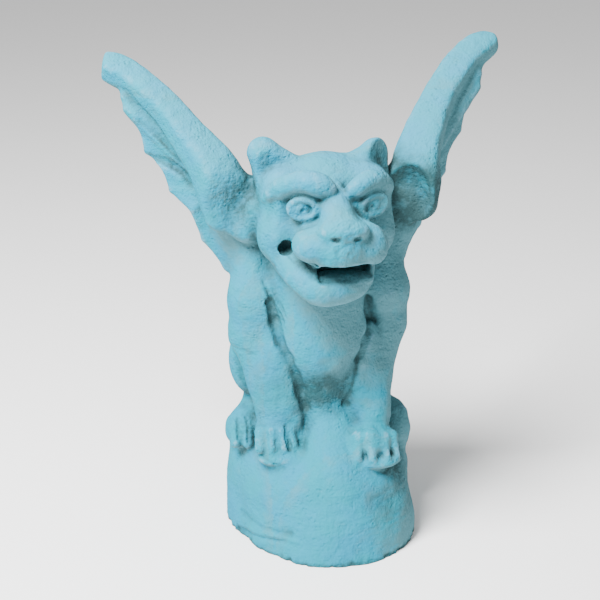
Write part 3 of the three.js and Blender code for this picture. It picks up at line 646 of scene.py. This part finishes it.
def head():
    def both(at, radii, middle=HEAD_MIDDLE):
        return [ellipsoid((middle + side * at[0], *at[1:]), radii) for side in (-1, 1)]

    mass = join(
        BROAD, ellipsoid(*HEAD["skull"]), *both(*HEAD["temple"]), *both(*HEAD["cheek"]),
        ellipsoid(*HEAD["throat"]), taper(*HEAD["jaw"]),
    )
    lips = [ellipsoid(*HEAD[name]) for name in ("right_lip", "left_lip")]
    muzzle = join(SOFT, join(FIRM, taper(*HEAD["snout"]), *lips), taper(*HEAD["shoulder"]))
    blank = carve(FIRM, join(SOFT, mass, muzzle), *both(*EYE["socket"], 0))
    blank = join(FIRM, blank, *both(*EYE["corner"], 0))
    nose = join(FIRM, taper(*HEAD["bridge"]), ellipsoid(*HEAD["nose"]))
    snouted = join(FIRM, blank, bowed(FIRM, CHIN, CHIN_PIECES), nose)
    brows = [bowed(FIRM, mirrored(BROW[side], side), BROW_PIECES) for side in (-1, 1)]
    brows += [limb(FIRM, mirrored(EYE["lid"], side)) for side in (-1, 1)]
    rings = [ring(*LIDS[side]) for side in (-1, 1)]
    seeing = join(CLOSE, snouted, *brows, *both(*EYE["ball"], 0), *rings)

    mouth = carve(CRISP, slab(*MOUTH, MOUTH_ROUND), *(beyond(*end) for end in MOUTH_ENDS))
    pinholes = [*both(*HEAD["nostril"]), *both(*EYE["pupil"], 0)]
    open_face = carve(CRISP, seeing, mouth, limb(CRISP, SMILE), ellipsoid(*MOUTH_CORNER), *pinholes)
    return join(FIRM, join(CRISP, open_face, ellipsoid(*TONGUE)), ear(-1), ear(1))


def wing(side):
    """An arm with its scoop at the root and its cut-off tip, and the web behind it."""
    inner, outer = WING["root"][0][0], WING["arm"][0][0]
    count, pieces = len(WING["arm"]) - 1, WING["pieces"]

    def place(at):
        x, y, z, *radius = at
        return (side * x + WING["shift"], y, z + side * WING["slant"] * (x - inner), *radius)

    def slimmed(i, at):
        x, y, z, radius = place(at)
        middle = math.sin(math.pi * i / count)
        return (x - WING_BOW[side] * side * middle, y, z, radius * (1 + (WING_GIRTH[side] - 1) * middle))

    def drawn_in(at):
        share = (at[0] - inner) / (outer - inner)
        return (at[0] - WEB_BOW[side] * math.sin(math.pi * share), *at[1:])

    arm_path = [slimmed(i, at) for i, at in enumerate(WING["arm"])]
    section = (sided(WING["edge"], side), WING["flatness"], WING["squareness"])
    places = [curve_point(arm_path, i / pieces) for i in range(pieces + 1)]
    arm = join(FIRM, *(blade(a, b, *section) for a, b in zip(places, places[1:])))
    end, way = WING_CUT[side]
    cuff = limb(FIRM, [place(at) for at in WING["cuff"]])
    bone = join(SOFT, carve(CLOSE, arm, beyond(place(end), sided(way, side))), cuff)
    at, radii, edge_blend = SCOOP[side]
    scooped = carve(edge_blend, bone, ellipsoid(sided(at, side), radii))
    if side == -1:
        scooped = join(SOFT, scooped, limb(FIRM, NAPE))
    edge = [place(drawn_in(at)) for at in WING["web"]]
    web = join(CRISP, *(panel(place(WING["fold"]), a, b, WING["thickness"]) for a, b in zip(edge, edge[1:])))
    return join(WING_MELT[side], scooped, join(SOFT, web, limb(SOFT, [place(at) for at in WING["root"]])))


def gargoyle():
    winged = join(SOFT, zoned("body", body()), zoned("left_wing", wing(1)), zoned("right_wing", wing(-1)))
    return join(SOFT, join(FIRM, winged, zoned("head", head())), plinth())


def painted(stone):
    """The stone with its beds and run of thick paint."""
    beds = (ellipsoid(*bed) for bed in PAINT_BEDS)
    return join(CLOSE, stone, *beds, limb(FIRM, PAINT_RUN))


# Skin

def measure(form, places, lot=60000):
    """A form's distance at each of many places."""
    values = np.empty(len(places), np.float32)
    for start in range(0, len(places), lot):
        x, y, z = places[start:start + lot].T.astype(np.float32)
        values[start:start + lot] = form(x, y, z)
    return values


def sample(form, step, block=8):
    """The distances on a grid over the span. Blocks that the surface doesn't reach are measured only once."""
    low, high = np.array(SPAN[0], float), np.array(SPAN[1], float)
    blocks = np.ceil((high - low) / (step * block)).astype(int)
    spots = np.stack(np.meshgrid(*(np.arange(n) for n in blocks), indexing="ij"), -1).reshape(-1, 3)
    middles = low + (spots * block + (block - 1) / 2) * step
    rough = measure(form, middles)
    near = np.abs(rough) < block * step * BLOCK_MARGIN
    within = np.stack(np.meshgrid(*[np.arange(block)] * 3, indexing="ij"), -1).reshape(-1, 3)
    cells = (spots[near][:, None, :] * block + within).reshape(-1, 3)
    fine = measure(form, low + cells * step)
    values = np.repeat(np.repeat(np.repeat(rough.reshape(blocks), block, 0), block, 1), block, 2)
    values[tuple(cells.T)] = fine
    return values, low


def part_diagonals(values, step):
    """Fills the grid where the clay meets only across a diagonal, so that no two sheets share an edge."""
    for axis in range(3):
        u, v = [n for n in range(3) if n != axis]
        grid = np.moveaxis(values, (u, v), (0, 1))
        inside = grid < 0
        a, b, c, d = inside[:-1, :-1], inside[:-1, 1:], inside[1:, :-1], inside[1:, 1:]
        crossed = (a == d) & (b == c) & (a != b)
        for i, j in ((0, 0), (0, 1), (1, 0), (1, 1)):
            part = grid[i:grid.shape[0] - 1 + i, j:grid.shape[1] - 1 + j]
            part[crossed & (part >= 0)] = -step * SLIVER


def draw_skin(values, low, step):
    """A point in each cell that the surface cuts, and a face round each edge of the grid that it crosses."""
    for _ in range(3):
        part_diagonals(values, step)
    inside = values < 0
    size = np.array(values.shape) - 1
    corners = [(i, j, k) for i in (0, 1) for j in (0, 1) for k in (0, 1)]
    counts = np.zeros(size, np.int8)
    for i, j, k in corners:
        counts += inside[i:size[0] + i, j:size[1] + j, k:size[2] + k]
    cells = np.argwhere((counts > 0) & (counts < 8))

    total, crossings = np.zeros((len(cells), 3)), np.zeros(len(cells))
    for start in corners:
        for axis in range(3):
            if start[axis] == 1:
                continue
            end = tuple(1 if n == axis else start[n] for n in range(3))
            a, b = (values[tuple((cells + corner).T)] for corner in (start, end))
            cut = (a < 0) != (b < 0)
            place = np.tile(np.array(start, float), (len(cells), 1))
            place[:, axis] = np.where(cut, a / np.where(cut, a - b, 1), 0)
            total[cut] += place[cut]
            crossings += cut
    places = low + (cells + total / crossings[:, None]) * step

    number = np.full(size, -1, np.int32)
    number[tuple(cells.T)] = np.arange(len(cells))
    faces = []
    for axis in range(3):
        ahead = np.roll(inside, -1, axis)
        cut = inside != ahead
        others = [n for n in range(3) if n != axis]
        cut[tuple(slice(-1, None) if n == axis else slice(None) for n in range(3))] = False
        for n in others:
            cut[tuple(slice(0, 1) if m == n else slice(None) for m in range(3))] = False
            cut[tuple(slice(-1, None) if m == n else slice(None) for m in range(3))] = False
        edges = np.argwhere(cut)
        u, v = np.eye(3, dtype=int)[(axis + 1) % 3], np.eye(3, dtype=int)[(axis + 2) % 3]
        ring = np.stack([number[tuple((edges - back).T)] for back in (u + v, v, 0 * u, u)], 1)
        turned = ~inside[tuple(edges.T)]
        ring[turned] = ring[turned][:, ::-1]
        faces.append(ring)
    return places, np.concatenate(faces)


def settle(form, places, limit):
    """Moves the places onto the surface, and gives the way that the surface faces there."""
    here = measure(form, places)
    slope = np.stack([measure(form, places + NUDGE * way) - here for way in np.eye(3)], 1) / NUDGE
    size = np.maximum(np.linalg.norm(slope, axis=1), LEAST_SLOPE)
    facing = slope / size[:, None]
    places = places - np.clip(here / size, -limit, limit)[:, None] * facing
    again = measure(form, places)
    return places - np.clip(again / size, -limit / 2, limit / 2)[:, None] * facing, facing


# Relief

def smooth_noise():
    """Noise from about -1 to 1, whose humps have a given width."""
    chance = np.random.default_rng(NOISE_SEED)
    ways = chance.normal(size=(NOISE_WAYS, 3))
    ways /= np.linalg.norm(ways, axis=1)[:, None]
    order = chance.permutation(NOISE_WAYS)
    spin = np.linalg.qr(chance.normal(size=(3, 3)))[0]

    def noise(places, width):
        spots = places @ spin / width
        cells = np.floor(spots).astype(int)
        parts = spots - cells
        fade = parts ** 3 * (parts * (parts * 6 - 15) + 10)
        total = np.zeros(len(places))
        for corner in np.ndindex(2, 2, 2):
            i, j, k = ((cells + corner) % NOISE_WAYS).T
            way = ways[order[(order[(order[i] + j) % NOISE_WAYS] + k) % NOISE_WAYS]]
            share = np.prod(np.where(corner, fade, 1 - fade), axis=1)
            total += share * (way * (parts - corner)).sum(1)
        return total * NOISE_GAIN

    return noise


def groove_depth(places, facing, path, width, depth):
    """How deep a groove is at each place that lies under its path."""
    nearest = np.full(len(places), np.inf)
    for a, b in zip(path, path[1:]):
        start, run = np.array(a, float), np.subtract(b, a).astype(float)
        share = np.clip((places - start) @ run / (run @ run), 0, 1)
        away = places - start - share[:, None] * run
        above = (away * facing).sum(1)
        aside = np.linalg.norm(away - above[:, None] * facing, axis=1)
        nearest = np.minimum(nearest, np.where(np.abs(above) < GROOVE_REACH, aside, np.inf))
    return depth * np.exp(-(nearest / width) ** 2)


def patch_share(places, at, width):
    """How much of a round patch is felt at each place, from 1 in its middle to 0 well outside."""
    return np.exp(-(((places - at) / width) ** 2).sum(1))


def swellings(places, noise):
    """The surface's own unevenness, which is greatest on the plinth, and its soft dents."""
    height = sum(high * noise(places, wide) for wide, high in SWELLINGS)
    low = np.clip((PLINTH["height"] - places[:, 2]) / PLINTH_FADE, 0, 1)
    wide, high = PLINTH_SWELLING
    height += low * high * noise(places + ELSEWHERE["plinth"], wide)
    wide, high, stretch = STROKES
    height += low * high * noise(places * stretch, wide)
    for at, wide, deep in DENTS:
        height -= deep * patch_share(places, at, wide)
    return height


def marks(places, facing, noise):
    """Grooves, pits and chips, which hold dirt and painted shade."""
    reach, wide, deep = CHIPS
    foot = np.exp(-(np.maximum(places[:, 2], 0) / reach) ** 2)
    height = -deep * foot * np.maximum(noise(places + ELSEWHERE["chips"], wide) + CHIP_SHARE, 0)
    for path, wide, deep in GROOVES:
        height -= groove_depth(places, facing, path, wide, deep)
    (wide, share), (narrow, less) = PITS
    pits = share * np.abs(noise(places, wide)) + less * np.abs(noise(places + ELSEWHERE["pits"], narrow))
    for at, wide, deep in ROUGH:
        height -= deep * patch_share(places, at, wide) * pits
    return height


def hollowness(form, places, facing, reach):
    """How much of the room in front of each place is filled by the statue itself, from 0 to 1."""
    return np.clip(1 - measure(form, places + facing * reach) / reach, 0, 1)


def painted_shadow(form, places, facing):
    """How far the statue itself shades each place from the key light, from 0 to 1, for painted shadow."""
    clear = np.ones(len(places))
    start = places + facing * SHADOW_START
    for reach in SHADOW_REACHES:
        clear = np.minimum(clear, measure(form, start + KEY_LIGHT_WAY * reach) / (reach * SHADOW_SPREAD))
    return 1 - np.clip(clear, 0, 1)


def bend(form, places, facing, reach):
    """How the surface bends about each place: above 0 on a ridge, and below 0 in a crease."""
    aside = np.cross(facing, SLANT)
    aside /= np.linalg.norm(aside, axis=1)[:, None]
    ways = (aside, -aside, np.cross(facing, aside), -np.cross(facing, aside))
    around = sum(measure(form, places + way * reach) for way in ways) / len(ways)
    return (around - measure(form, places)) / reach


# Blender

def alone(thing):
    """Makes one object the only one that is selected, and the active one."""
    bpy.ops.object.select_all(action="DESELECT")
    thing.select_set(True)
    bpy.context.view_layer.objects.active = thing


def mesh_piece(name, places, faces):
    """A new object from places in metres and their faces."""
    mesh = bpy.data.meshes.new(name)
    mesh.from_pydata(places.tolist(), [], faces.tolist())
    piece = bpy.data.objects.new(name, mesh)
    bpy.context.scene.collection.objects.link(piece)
    return piece


class GargoyleClay(bpy.types.PropertyGroup):
    """How finely the statue is modelled."""

    step: bpy.props.FloatProperty(
        name="Step", description="Spacing of the grid on which the clay is measured",
        default=0.00135, min=0.001, max=0.006, unit="LENGTH",
    )
    faces: bpy.props.IntProperty(
        name="Faces", description="How many triangles the finished skin has at most",
        default=190000, min=10000, max=199000,
    )


class GargoylePaint(bpy.types.PropertyGroup):
    """The paint on the casting."""

    paint: bpy.props.FloatVectorProperty(
        name="Paint", description="Colour of the clean paint", subtype="COLOR", size=4,
        default=(0.0, 0.212, 0.285, 1), min=0, max=1,
    )
    cool: bpy.props.FloatVectorProperty(
        name="Mottling", description="Colour of the bluer patches in the paint", subtype="COLOR", size=4,
        default=(0.004, 0.205, 0.315, 1), min=0, max=1,
    )
    # The colour of the dirt and of the painted shade in the hollows, creases and listed patches
    dirt_and_shade: bpy.props.FloatVectorProperty(
        name="Dirt_and_shade", description="Colour of the dirt in the hollows", subtype="COLOR", size=4,
        default=(0.022, 0.050, 0.051, 1), min=0, max=1,
    )
    # The paint's colour in painted shade, on faces turned from the key light and in the statue's own shadow
    # from it
    shaded_paint: bpy.props.FloatVectorProperty(
        name="Shaded_paint", description="Colour of the paint under the grey film on its lee side", subtype="COLOR",
        size=4, default=(0.07, 0.20, 0.235, 1), min=0, max=1,
    )
    # This colour is also laid on high upward faces as a painted highlight
    worn: bpy.props.FloatVectorProperty(
        name="Worn", description="Colour where the paint is rubbed thin", subtype="COLOR", size=4,
        default=(0.13, 0.30, 0.40, 1), min=0, max=1,
    )
    grain: bpy.props.FloatProperty(
        name="Grain", description="How high the grain of the stone stands", default=0.001, min=0, max=0.003,
        unit="LENGTH",
    )


class GargoyleStudio(bpy.types.PropertyGroup):
    """The camera, the floor and the lights."""

    floor: bpy.props.FloatVectorProperty(
        name="Floor", description="Colour of the floor", subtype="COLOR", size=4,
        default=(0.96, 0.96, 0.96, 1), min=0, max=1,
    )
    azimuth: bpy.props.FloatProperty(
        name="Azimuth", description="How far the camera stands round to the beast's right",
        subtype="ANGLE", default=math.radians(-12),
    )
    elevation: bpy.props.FloatProperty(
        name="Elevation", description="How far the camera looks down", subtype="ANGLE",
        default=math.radians(20),
    )
    distance: bpy.props.FloatProperty(
        name="Distance", description="From the camera to what it looks at", unit="LENGTH", default=1.3,
    )
    target: bpy.props.FloatVectorProperty(
        name="Target", description="The place that the camera looks at", subtype="XYZ", unit="LENGTH",
        default=(-0.0171, 0.0036, 0.2169),
    )
    lens: bpy.props.FloatProperty(
        name="Lens", description="Focal length in millimetres on a sensor 36 mm wide", default=87.5,
    )
    key: bpy.props.FloatProperty(
        name="Key", description="Power of the main light in watts", default=119, min=0,
    )
    key_size: bpy.props.FloatProperty(
        name="Key Size", description="How wide the main light is", unit="LENGTH", default=0.75, min=0,
    )
    key_distance: bpy.props.FloatProperty(
        name="Key Distance", description="From the main light to what it lights", unit="LENGTH", default=1.6,
    )
    key_azimuth: bpy.props.FloatProperty(
        name="Key Azimuth", description="How far the main light stands round to the beast's right",
        subtype="ANGLE", default=math.radians(-52),
    )
    key_elevation: bpy.props.FloatProperty(
        name="Key Elevation", description="How high the main light stands", subtype="ANGLE",
        default=math.radians(53),
    )
    sky: bpy.props.FloatProperty(
        name="Sky", description="Strength of the light that comes from all sides", default=0.62, min=0,
    )


def store_wear_and_light(mesh, form, noise):
    """Keeps how hollow, sharp, shaded from the key light and lit from above each corner of the mesh is, for
    the paint's dirt and painted shade, its wear, its painted shade and its painted highlight.
    """
    count = len(mesh.vertices)
    places, facing = np.empty(count * 3), np.empty(count * 3)
    mesh.vertices.foreach_get("co", places)
    mesh.vertex_normals.foreach_get("vector", facing)
    places, facing = places.reshape(-1, 3) / MM, facing.reshape(-1, 3)
    turn = bend(form, places, facing, BEND_REACH)
    sunk = np.clip(-marks(places, facing, noise), 0, MARK_DEEPEST)
    # The hollow mask holds dirt and painted shade: darker in marks, creases and recesses, in listed patches
    # and towards the foot
    hollow = MARK_DIRT_AND_SHADE * sunk + np.clip(-turn, 0, CREASE_DIRT_AND_SHADE)
    hollow += sum(share * hollowness(form, places, facing, reach) for reach, share in HOLLOWS)
    hollow += sum(share * patch_share(places, at, wide) for at, wide, share in SHADE_AND_GRIME)
    deep, share = FOOT_DARKENING
    hollow += share * np.exp(-(places[:, 2] / deep) ** 2)
    # Painted shade on faces turned from the key light and in the statue's own shadow from it
    painted_shade = np.clip((SHADE_START - facing @ KEY_LIGHT_WAY) / SHADE_START, painted_shadow(form, places, facing), 1)
    # Painted highlight: high faces that look up are painted paler
    low, high = HIGHLIGHT_HEIGHTS
    painted_highlight = np.clip((places[:, 2] - low) / (high - low), 0, 1) * np.clip(facing[:, 2] * HIGHLIGHT_GAIN, 0, 1)
    sharp = np.clip(turn * RIDGE_WEAR - sunk, 0, 1)
    wear_and_light = {"hollow": np.clip(hollow, 0, 1), "sharp": sharp, "painted_shade": painted_shade, "painted_highlight": painted_highlight}
    for name, values in wear_and_light.items():
        layer = mesh.attributes.new(name, "FLOAT", "POINT")
        layer.data.foreach_set("value", values.astype(np.float32))


# Materials

# The grain under the paint, in layers: how wide the humps are in metres, their detail, how they are stretched
# and how high they stand, as a share of the grain's height
GRAIN_LAYERS = ((0.0022, 3, None, 0.9), (0.007, 3, None, 1.8), (0.003, 2, (0.4, 0.4, 1.6), 0.4))
# Pinholes: how far apart they are in metres, from where to where their sides run, how deep they are, and the
# noise that leaves them out of most places
PINHOLES = {"spacing": 0.004, "sides": (0.05, 0.4), "depth": -0.7, "gaps": (0.018, 2), "share": (0.48, 0.62)}

# The paint's inputs: its colours, which GargoylePaint holds, and the masks that the mesh keeps as attributes
PAINT_COLOURS = ("Paint", "Cool", "Shaded_paint", "Dirt_and_shade", "Worn")
PAINT_MASKS = ("Painted_highlight", "Painted_shade", "Hollow", "Sharp")

# The paint's patterns: how wide each noise's humps are in metres and its detail, and the range of it that
# counts
MOTTLE = ((0.03, 4), (0.4, 0.65))
SPECKLE = ((0.0035, 3), (0.35, 0.7))
SMEAR = ((0.012, 4), (0.3, 0.6))
RUBBED = ((0.008, 5), (0.5, 0.62))
SHADE_EDGE = (0.012, 3)
# How strong the painted highlight is, and over what range the painted shade sets in
HIGHLIGHT_STRENGTH = 0.22
SHADE_RANGE = (0.6, 1.4)
# How far smears and speckles vary the dirt and painted shade, over what range it sets in, and how much it
# covers at most
SMEAR_SPAN = (0.7, 1.1)
SPECKLE_SPAN = (0.85, 1.2)
DIRT_AND_SHADE_RANGE = (0.2, 0.95)
DIRT_AND_SHADE_COVER = 0.85
# Over what range of sharpness rubbing sets in, how much it covers at most, and over what dirt and painted
# shade it ends
WEAR_RANGE = (0.2, 0.9)
WEAR_COVER = 0.6
CLEAN_RANGE = (0.2, 0.5)
# The paint's roughness, from its plain to its mottled patches, and how much it shines
ROUGHNESS = (0.78, 0.92)
SPECULAR = 0.06


def new_group(name, inputs, outputs):
    """A node group with its sockets, and the nodes at its two ends."""
    group = bpy.data.node_groups.new(name, "ShaderNodeTree")
    for label, kind in inputs:
        group.interface.new_socket(label, in_out="INPUT", socket_type=kind)
    for label, kind in outputs:
        group.interface.new_socket(label, in_out="OUTPUT", socket_type=kind)
    return group, group.nodes.new("NodeGroupInput"), group.nodes.new("NodeGroupOutput")


def noise_node(tree, width, detail, stretch=None):
    """Noise on the object's own coordinates, with humps of a width in metres."""
    where = tree.nodes.new("ShaderNodeTexCoord").outputs["Object"]
    if stretch:
        mapping = tree.nodes.new("ShaderNodeMapping")
        mapping.inputs["Scale"].default_value = stretch
        tree.links.new(where, mapping.inputs["Vector"])
        where = mapping.outputs["Vector"]
    noise = tree.nodes.new("ShaderNodeTexNoise")
    noise.inputs["Scale"].default_value = 1 / width
    noise.inputs["Detail"].default_value = detail
    tree.links.new(where, noise.inputs["Vector"])
    return noise.outputs["Fac"]


def map_node(tree, value, low, high, to_low=0.0, to_high=1.0):
    """Spreads a value's range from low to high over another range."""
    ranged = tree.nodes.new("ShaderNodeMapRange")
    for label, number in zip(("From Min", "From Max", "To Min", "To Max"), (low, high, to_low, to_high)):
        ranged.inputs[label].default_value = number
    tree.links.new(value, ranged.inputs["Value"])
    return ranged.outputs["Result"]


def math_node(tree, operation, a, b):
    """A sum or a product of two sockets or numbers."""
    node = tree.nodes.new("ShaderNodeMath")
    node.operation = operation
    for socket, value in zip(node.inputs, (a, b)):
        if isinstance(value, (int, float)):
            socket.default_value = value
        else:
            tree.links.new(value, socket)
    return node.outputs["Value"]


def mix_node(tree, share, a, b):
    """Colour a where the share is 0, and colour b where it is 1."""
    node = tree.nodes.new("ShaderNodeMix")
    node.data_type = "RGBA"
    for socket, value in zip((node.inputs[0], node.inputs[6], node.inputs[7]), (share, a, b)):
        tree.links.new(value, socket)
    return node.outputs[2]


def cast_grain_group():
    """The grain and the pinholes of cast stone under thick paint."""
    group, _, end = new_group("cast_grain", (), (("Height", "NodeSocketFloat"),))
    layers = []
    for width, detail, stretch, high in GRAIN_LAYERS:
        layers.append(math_node(group, "MULTIPLY", noise_node(group, width, detail, stretch), high))
    cells = group.nodes.new("ShaderNodeTexVoronoi")
    cells.inputs["Scale"].default_value = 1 / PINHOLES["spacing"]
    group.links.new(group.nodes.new("ShaderNodeTexCoord").outputs["Object"], cells.inputs["Vector"])
    pits = map_node(group, cells.outputs["Distance"], *PINHOLES["sides"], PINHOLES["depth"], 0.0)
    sparse = map_node(group, noise_node(group, *PINHOLES["gaps"]), *PINHOLES["share"])
    layers.append(math_node(group, "MULTIPLY", pits, sparse))
    height = layers[0]
    for layer in layers[1:]:
        height = math_node(group, "ADD", height, layer)
    group.links.new(height, end.inputs["Height"])
    return group


def weathered_paint_and_light_group():
    """Mottled paint with a painted highlight on high upward faces and painted shade on faces turned from the
    key light, with dirt and painted shade in the hollows, and worn pale on the ridges.
    """
    colour, number = "NodeSocketColor", "NodeSocketFloat"
    inputs = [*((name, colour) for name in PAINT_COLOURS), *((name, number) for name in PAINT_MASKS)]
    group, start, end = new_group("weathered_paint_and_light", inputs, (("Color", colour), ("Roughness", number)))
    given = start.outputs

    def pattern(noise, span, *spread):
        return map_node(group, noise_node(group, *noise), *span, *spread)

    def times(a, b):
        return math_node(group, "MULTIPLY", a, b)

    mottle = pattern(*MOTTLE)
    base = mix_node(group, mottle, given["Paint"], given["Cool"])
    # A painted highlight on high faces that look up, then painted shade on faces turned from the key light
    base = mix_node(group, times(given["Painted_highlight"], HIGHLIGHT_STRENGTH), base, given["Worn"])
    edge = math_node(group, "ADD", given["Painted_shade"], noise_node(group, *SHADE_EDGE))
    base = mix_node(group, map_node(group, edge, *SHADE_RANGE), base, given["Shaded_paint"])
    # Dirt and painted shade in the hollows
    grime_and_shade = times(times(given["Hollow"], pattern(*SMEAR, *SMEAR_SPAN)), pattern(*SPECKLE, *SPECKLE_SPAN))
    dirty_and_shaded = mix_node(group, map_node(group, grime_and_shade, *DIRT_AND_SHADE_RANGE, 0.0, DIRT_AND_SHADE_COVER), base, given["Dirt_and_shade"])
    worn = times(pattern(*RUBBED), map_node(group, given["Sharp"], *WEAR_RANGE, 0.0, WEAR_COVER))
    worn = times(worn, map_node(group, given["Hollow"], *CLEAN_RANGE, 1.0, 0.0))
    group.links.new(mix_node(group, worn, dirty_and_shaded, given["Worn"]), end.inputs["Color"])
    group.links.new(map_node(group, mottle, 0.0, 1.0, *ROUGHNESS), end.inputs["Roughness"])
    return group


def paint_material(paint):
    """Matt paint on cast stone."""
    material = bpy.data.materials.new("gargoyle_paint")
    material.use_nodes = True
    tree = material.node_tree
    shader = tree.nodes["Principled BSDF"]
    weathered_and_lit = tree.nodes.new("ShaderNodeGroup")
    weathered_and_lit.node_tree = weathered_paint_and_light_group()
    for label in PAINT_COLOURS:
        weathered_and_lit.inputs[label].default_value = getattr(paint, label.lower())
    for label in PAINT_MASKS:
        attribute = tree.nodes.new("ShaderNodeAttribute")
        attribute.attribute_name = label.lower()
        tree.links.new(attribute.outputs["Fac"], weathered_and_lit.inputs[label])
    grain = tree.nodes.new("ShaderNodeGroup")
    grain.node_tree = cast_grain_group()
    shader.inputs["Specular IOR Level"].default_value = SPECULAR
    bump = tree.nodes.new("ShaderNodeBump")
    bump.inputs["Strength"].default_value = 1
    bump.inputs["Distance"].default_value = paint.grain
    tree.links.new(grain.outputs["Height"], bump.inputs["Height"])
    tree.links.new(bump.outputs["Normal"], shader.inputs["Normal"])
    tree.links.new(weathered_and_lit.outputs["Color"], shader.inputs["Base Color"])
    tree.links.new(weathered_and_lit.outputs["Roughness"], shader.inputs["Roughness"])
    return material


def floor_material(colour):
    """A plain matt floor."""
    material = bpy.data.materials.new("studio_floor")
    material.use_nodes = True
    shader = material.node_tree.nodes["Principled BSDF"]
    shader.inputs["Base Color"].default_value = colour
    shader.inputs["Roughness"].default_value = FLOOR_ROUGHNESS
    return material


def way_to(azimuth, elevation):
    """The way from the statue to a thing that stands round it at an azimuth and an elevation."""
    level = math.cos(elevation)
    return Vector((math.sin(azimuth) * level, -math.cos(azimuth) * level, math.sin(elevation)))


def aim(thing, place, target):
    """Puts a camera or a light at a place, and turns it to its target."""
    thing.location = place
    thing.rotation_euler = (place - target).to_track_quat("Z", "Y").to_euler()


def key_light(studio, target):
    """A round soft light, as a lamp in a large shade gives."""
    lamp = bpy.data.lights.new("key", "AREA")
    lamp.shape = "DISK"
    lamp.size = studio.key_size
    lamp.energy = studio.key
    light = bpy.data.objects.new("key", lamp)
    bpy.context.scene.collection.objects.link(light)
    aim(light, target + way_to(studio.key_azimuth, studio.key_elevation) * studio.key_distance, target)


class GARGOYLE_OT_cast(bpy.types.Operator):
    """Model the statue with its plinth as one casting and paint it"""

    bl_idname = "gargoyle.cast"
    bl_label = "Cast the Gargoyle"

    def execute(self, context):
        clay = context.scene.gargoyle_clay
        step = clay.step / MM * 1
        form = painted(gargoyle())
        values, low = sample(form, step)
        places, faces = draw_skin(values, low, step)
        places, facing = settle(form, places, step)
        noise = smooth_noise()
        height = swellings(places, noise) + marks(places, facing, noise)
        places = places + height[:, None] * facing
        statue = mesh_piece("gargoyle_casting", places * MM, faces)
        alone(statue)
        bpy.ops.object.mode_set(mode="EDIT")
        bpy.ops.mesh.select_all(action="SELECT")
        bpy.ops.mesh.bisect(plane_co=(0, 0, 0), plane_no=(0, 0, 1), clear_inner=True, use_fill=True)
        bpy.ops.mesh.select_all(action="SELECT")
        bpy.ops.mesh.quads_convert_to_tris()
        bpy.ops.object.mode_set(mode="OBJECT")
        if len(statue.data.polygons) > clay.faces:
            thinning = statue.modifiers.new("thinning", "DECIMATE")
            thinning.ratio = clay.faces / len(statue.data.polygons)
            bpy.ops.object.modifier_apply(modifier=thinning.name)
        bpy.ops.object.shade_smooth_by_angle(angle=SHARP_ANGLE)
        store_wear_and_light(statue.data, form, noise)
        statue.data.materials.append(paint_material(context.scene.gargoyle_paint))
        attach(statue, "root")
        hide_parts(NODE)
        return {"FINISHED"}


class GARGOYLE_OT_studio(bpy.types.Operator):
    """Lay a pale floor, set soft lights and place the camera"""

    bl_idname = "gargoyle.studio"
    bl_label = "Set the Studio"

    def execute(self, context):
        studio = context.scene.gargoyle_studio
        target = Vector(studio.target)
        bpy.ops.mesh.primitive_plane_add(size=FLOOR_SIZE, location=(0, 0, 0))
        floor = context.object
        floor.name = "studio_floor"
        floor.data.materials.append(floor_material(studio.floor))
        floor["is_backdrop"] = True

        camera = bpy.data.objects.new("camera", bpy.data.cameras.new("camera"))
        context.scene.collection.objects.link(camera)
        camera.data.lens = studio.lens
        camera.data.sensor_width = SENSOR_WIDTH
        aim(camera, target + way_to(studio.azimuth, studio.elevation) * studio.distance, target)
        context.scene.camera = camera

        key_light(studio, target)
        world = bpy.data.worlds.new("studio")
        world.use_nodes = True
        world.node_tree.nodes["Background"].inputs["Color"].default_value = (1, 1, 1, 1)
        world.node_tree.nodes["Background"].inputs["Strength"].default_value = studio.sky
        context.scene.world = world
        return {"FINISHED"}


class GARGOYLE_PT_steps(bpy.types.Panel):
    """The settings and the steps of the statue, in the order in which they run"""

    bl_idname = "GARGOYLE_PT_steps"
    bl_label = "Gargoyle"
    bl_space_type = "VIEW_3D"
    bl_region_type = "UI"
    bl_category = "Gargoyle"

    def draw(self, context):
        scene = context.scene
        steps = (
            (GARGOYLE_OT_cast, (scene.gargoyle_clay, scene.gargoyle_paint)),
            (GARGOYLE_OT_studio, (scene.gargoyle_studio,)),
        )
        for operator, groups in steps:
            box = self.layout.box()
            for group in groups:
                for name in group.__annotations__:
                    box.prop(group, name)
            box.operator(operator.bl_idname)


CLASSES = (
    GargoyleClay, GargoylePaint, GargoyleStudio, GARGOYLE_OT_cast, GARGOYLE_OT_studio, GARGOYLE_PT_steps,
)


def register():
    for cls in CLASSES:
        bpy.utils.register_class(cls)
    bpy.types.Scene.gargoyle_clay = bpy.props.PointerProperty(type=GargoyleClay)
    bpy.types.Scene.gargoyle_paint = bpy.props.PointerProperty(type=GargoylePaint)
    bpy.types.Scene.gargoyle_studio = bpy.props.PointerProperty(type=GargoyleStudio)


def unregister():
    for name in ("gargoyle_studio", "gargoyle_paint", "gargoyle_clay"):
        delattr(bpy.types.Scene, name)
    for cls in reversed(CLASSES):
        bpy.utils.unregister_class(cls)


def main():
    register()
    bpy.ops.gargoyle.cast()
    bpy.ops.gargoyle.studio()
    boxes = {"cad": CAD_BOX, "visual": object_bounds()}
    {name: [list(corner) for corner in box] for name, box in boxes.items()}


if __name__ == "__main__":
    main()
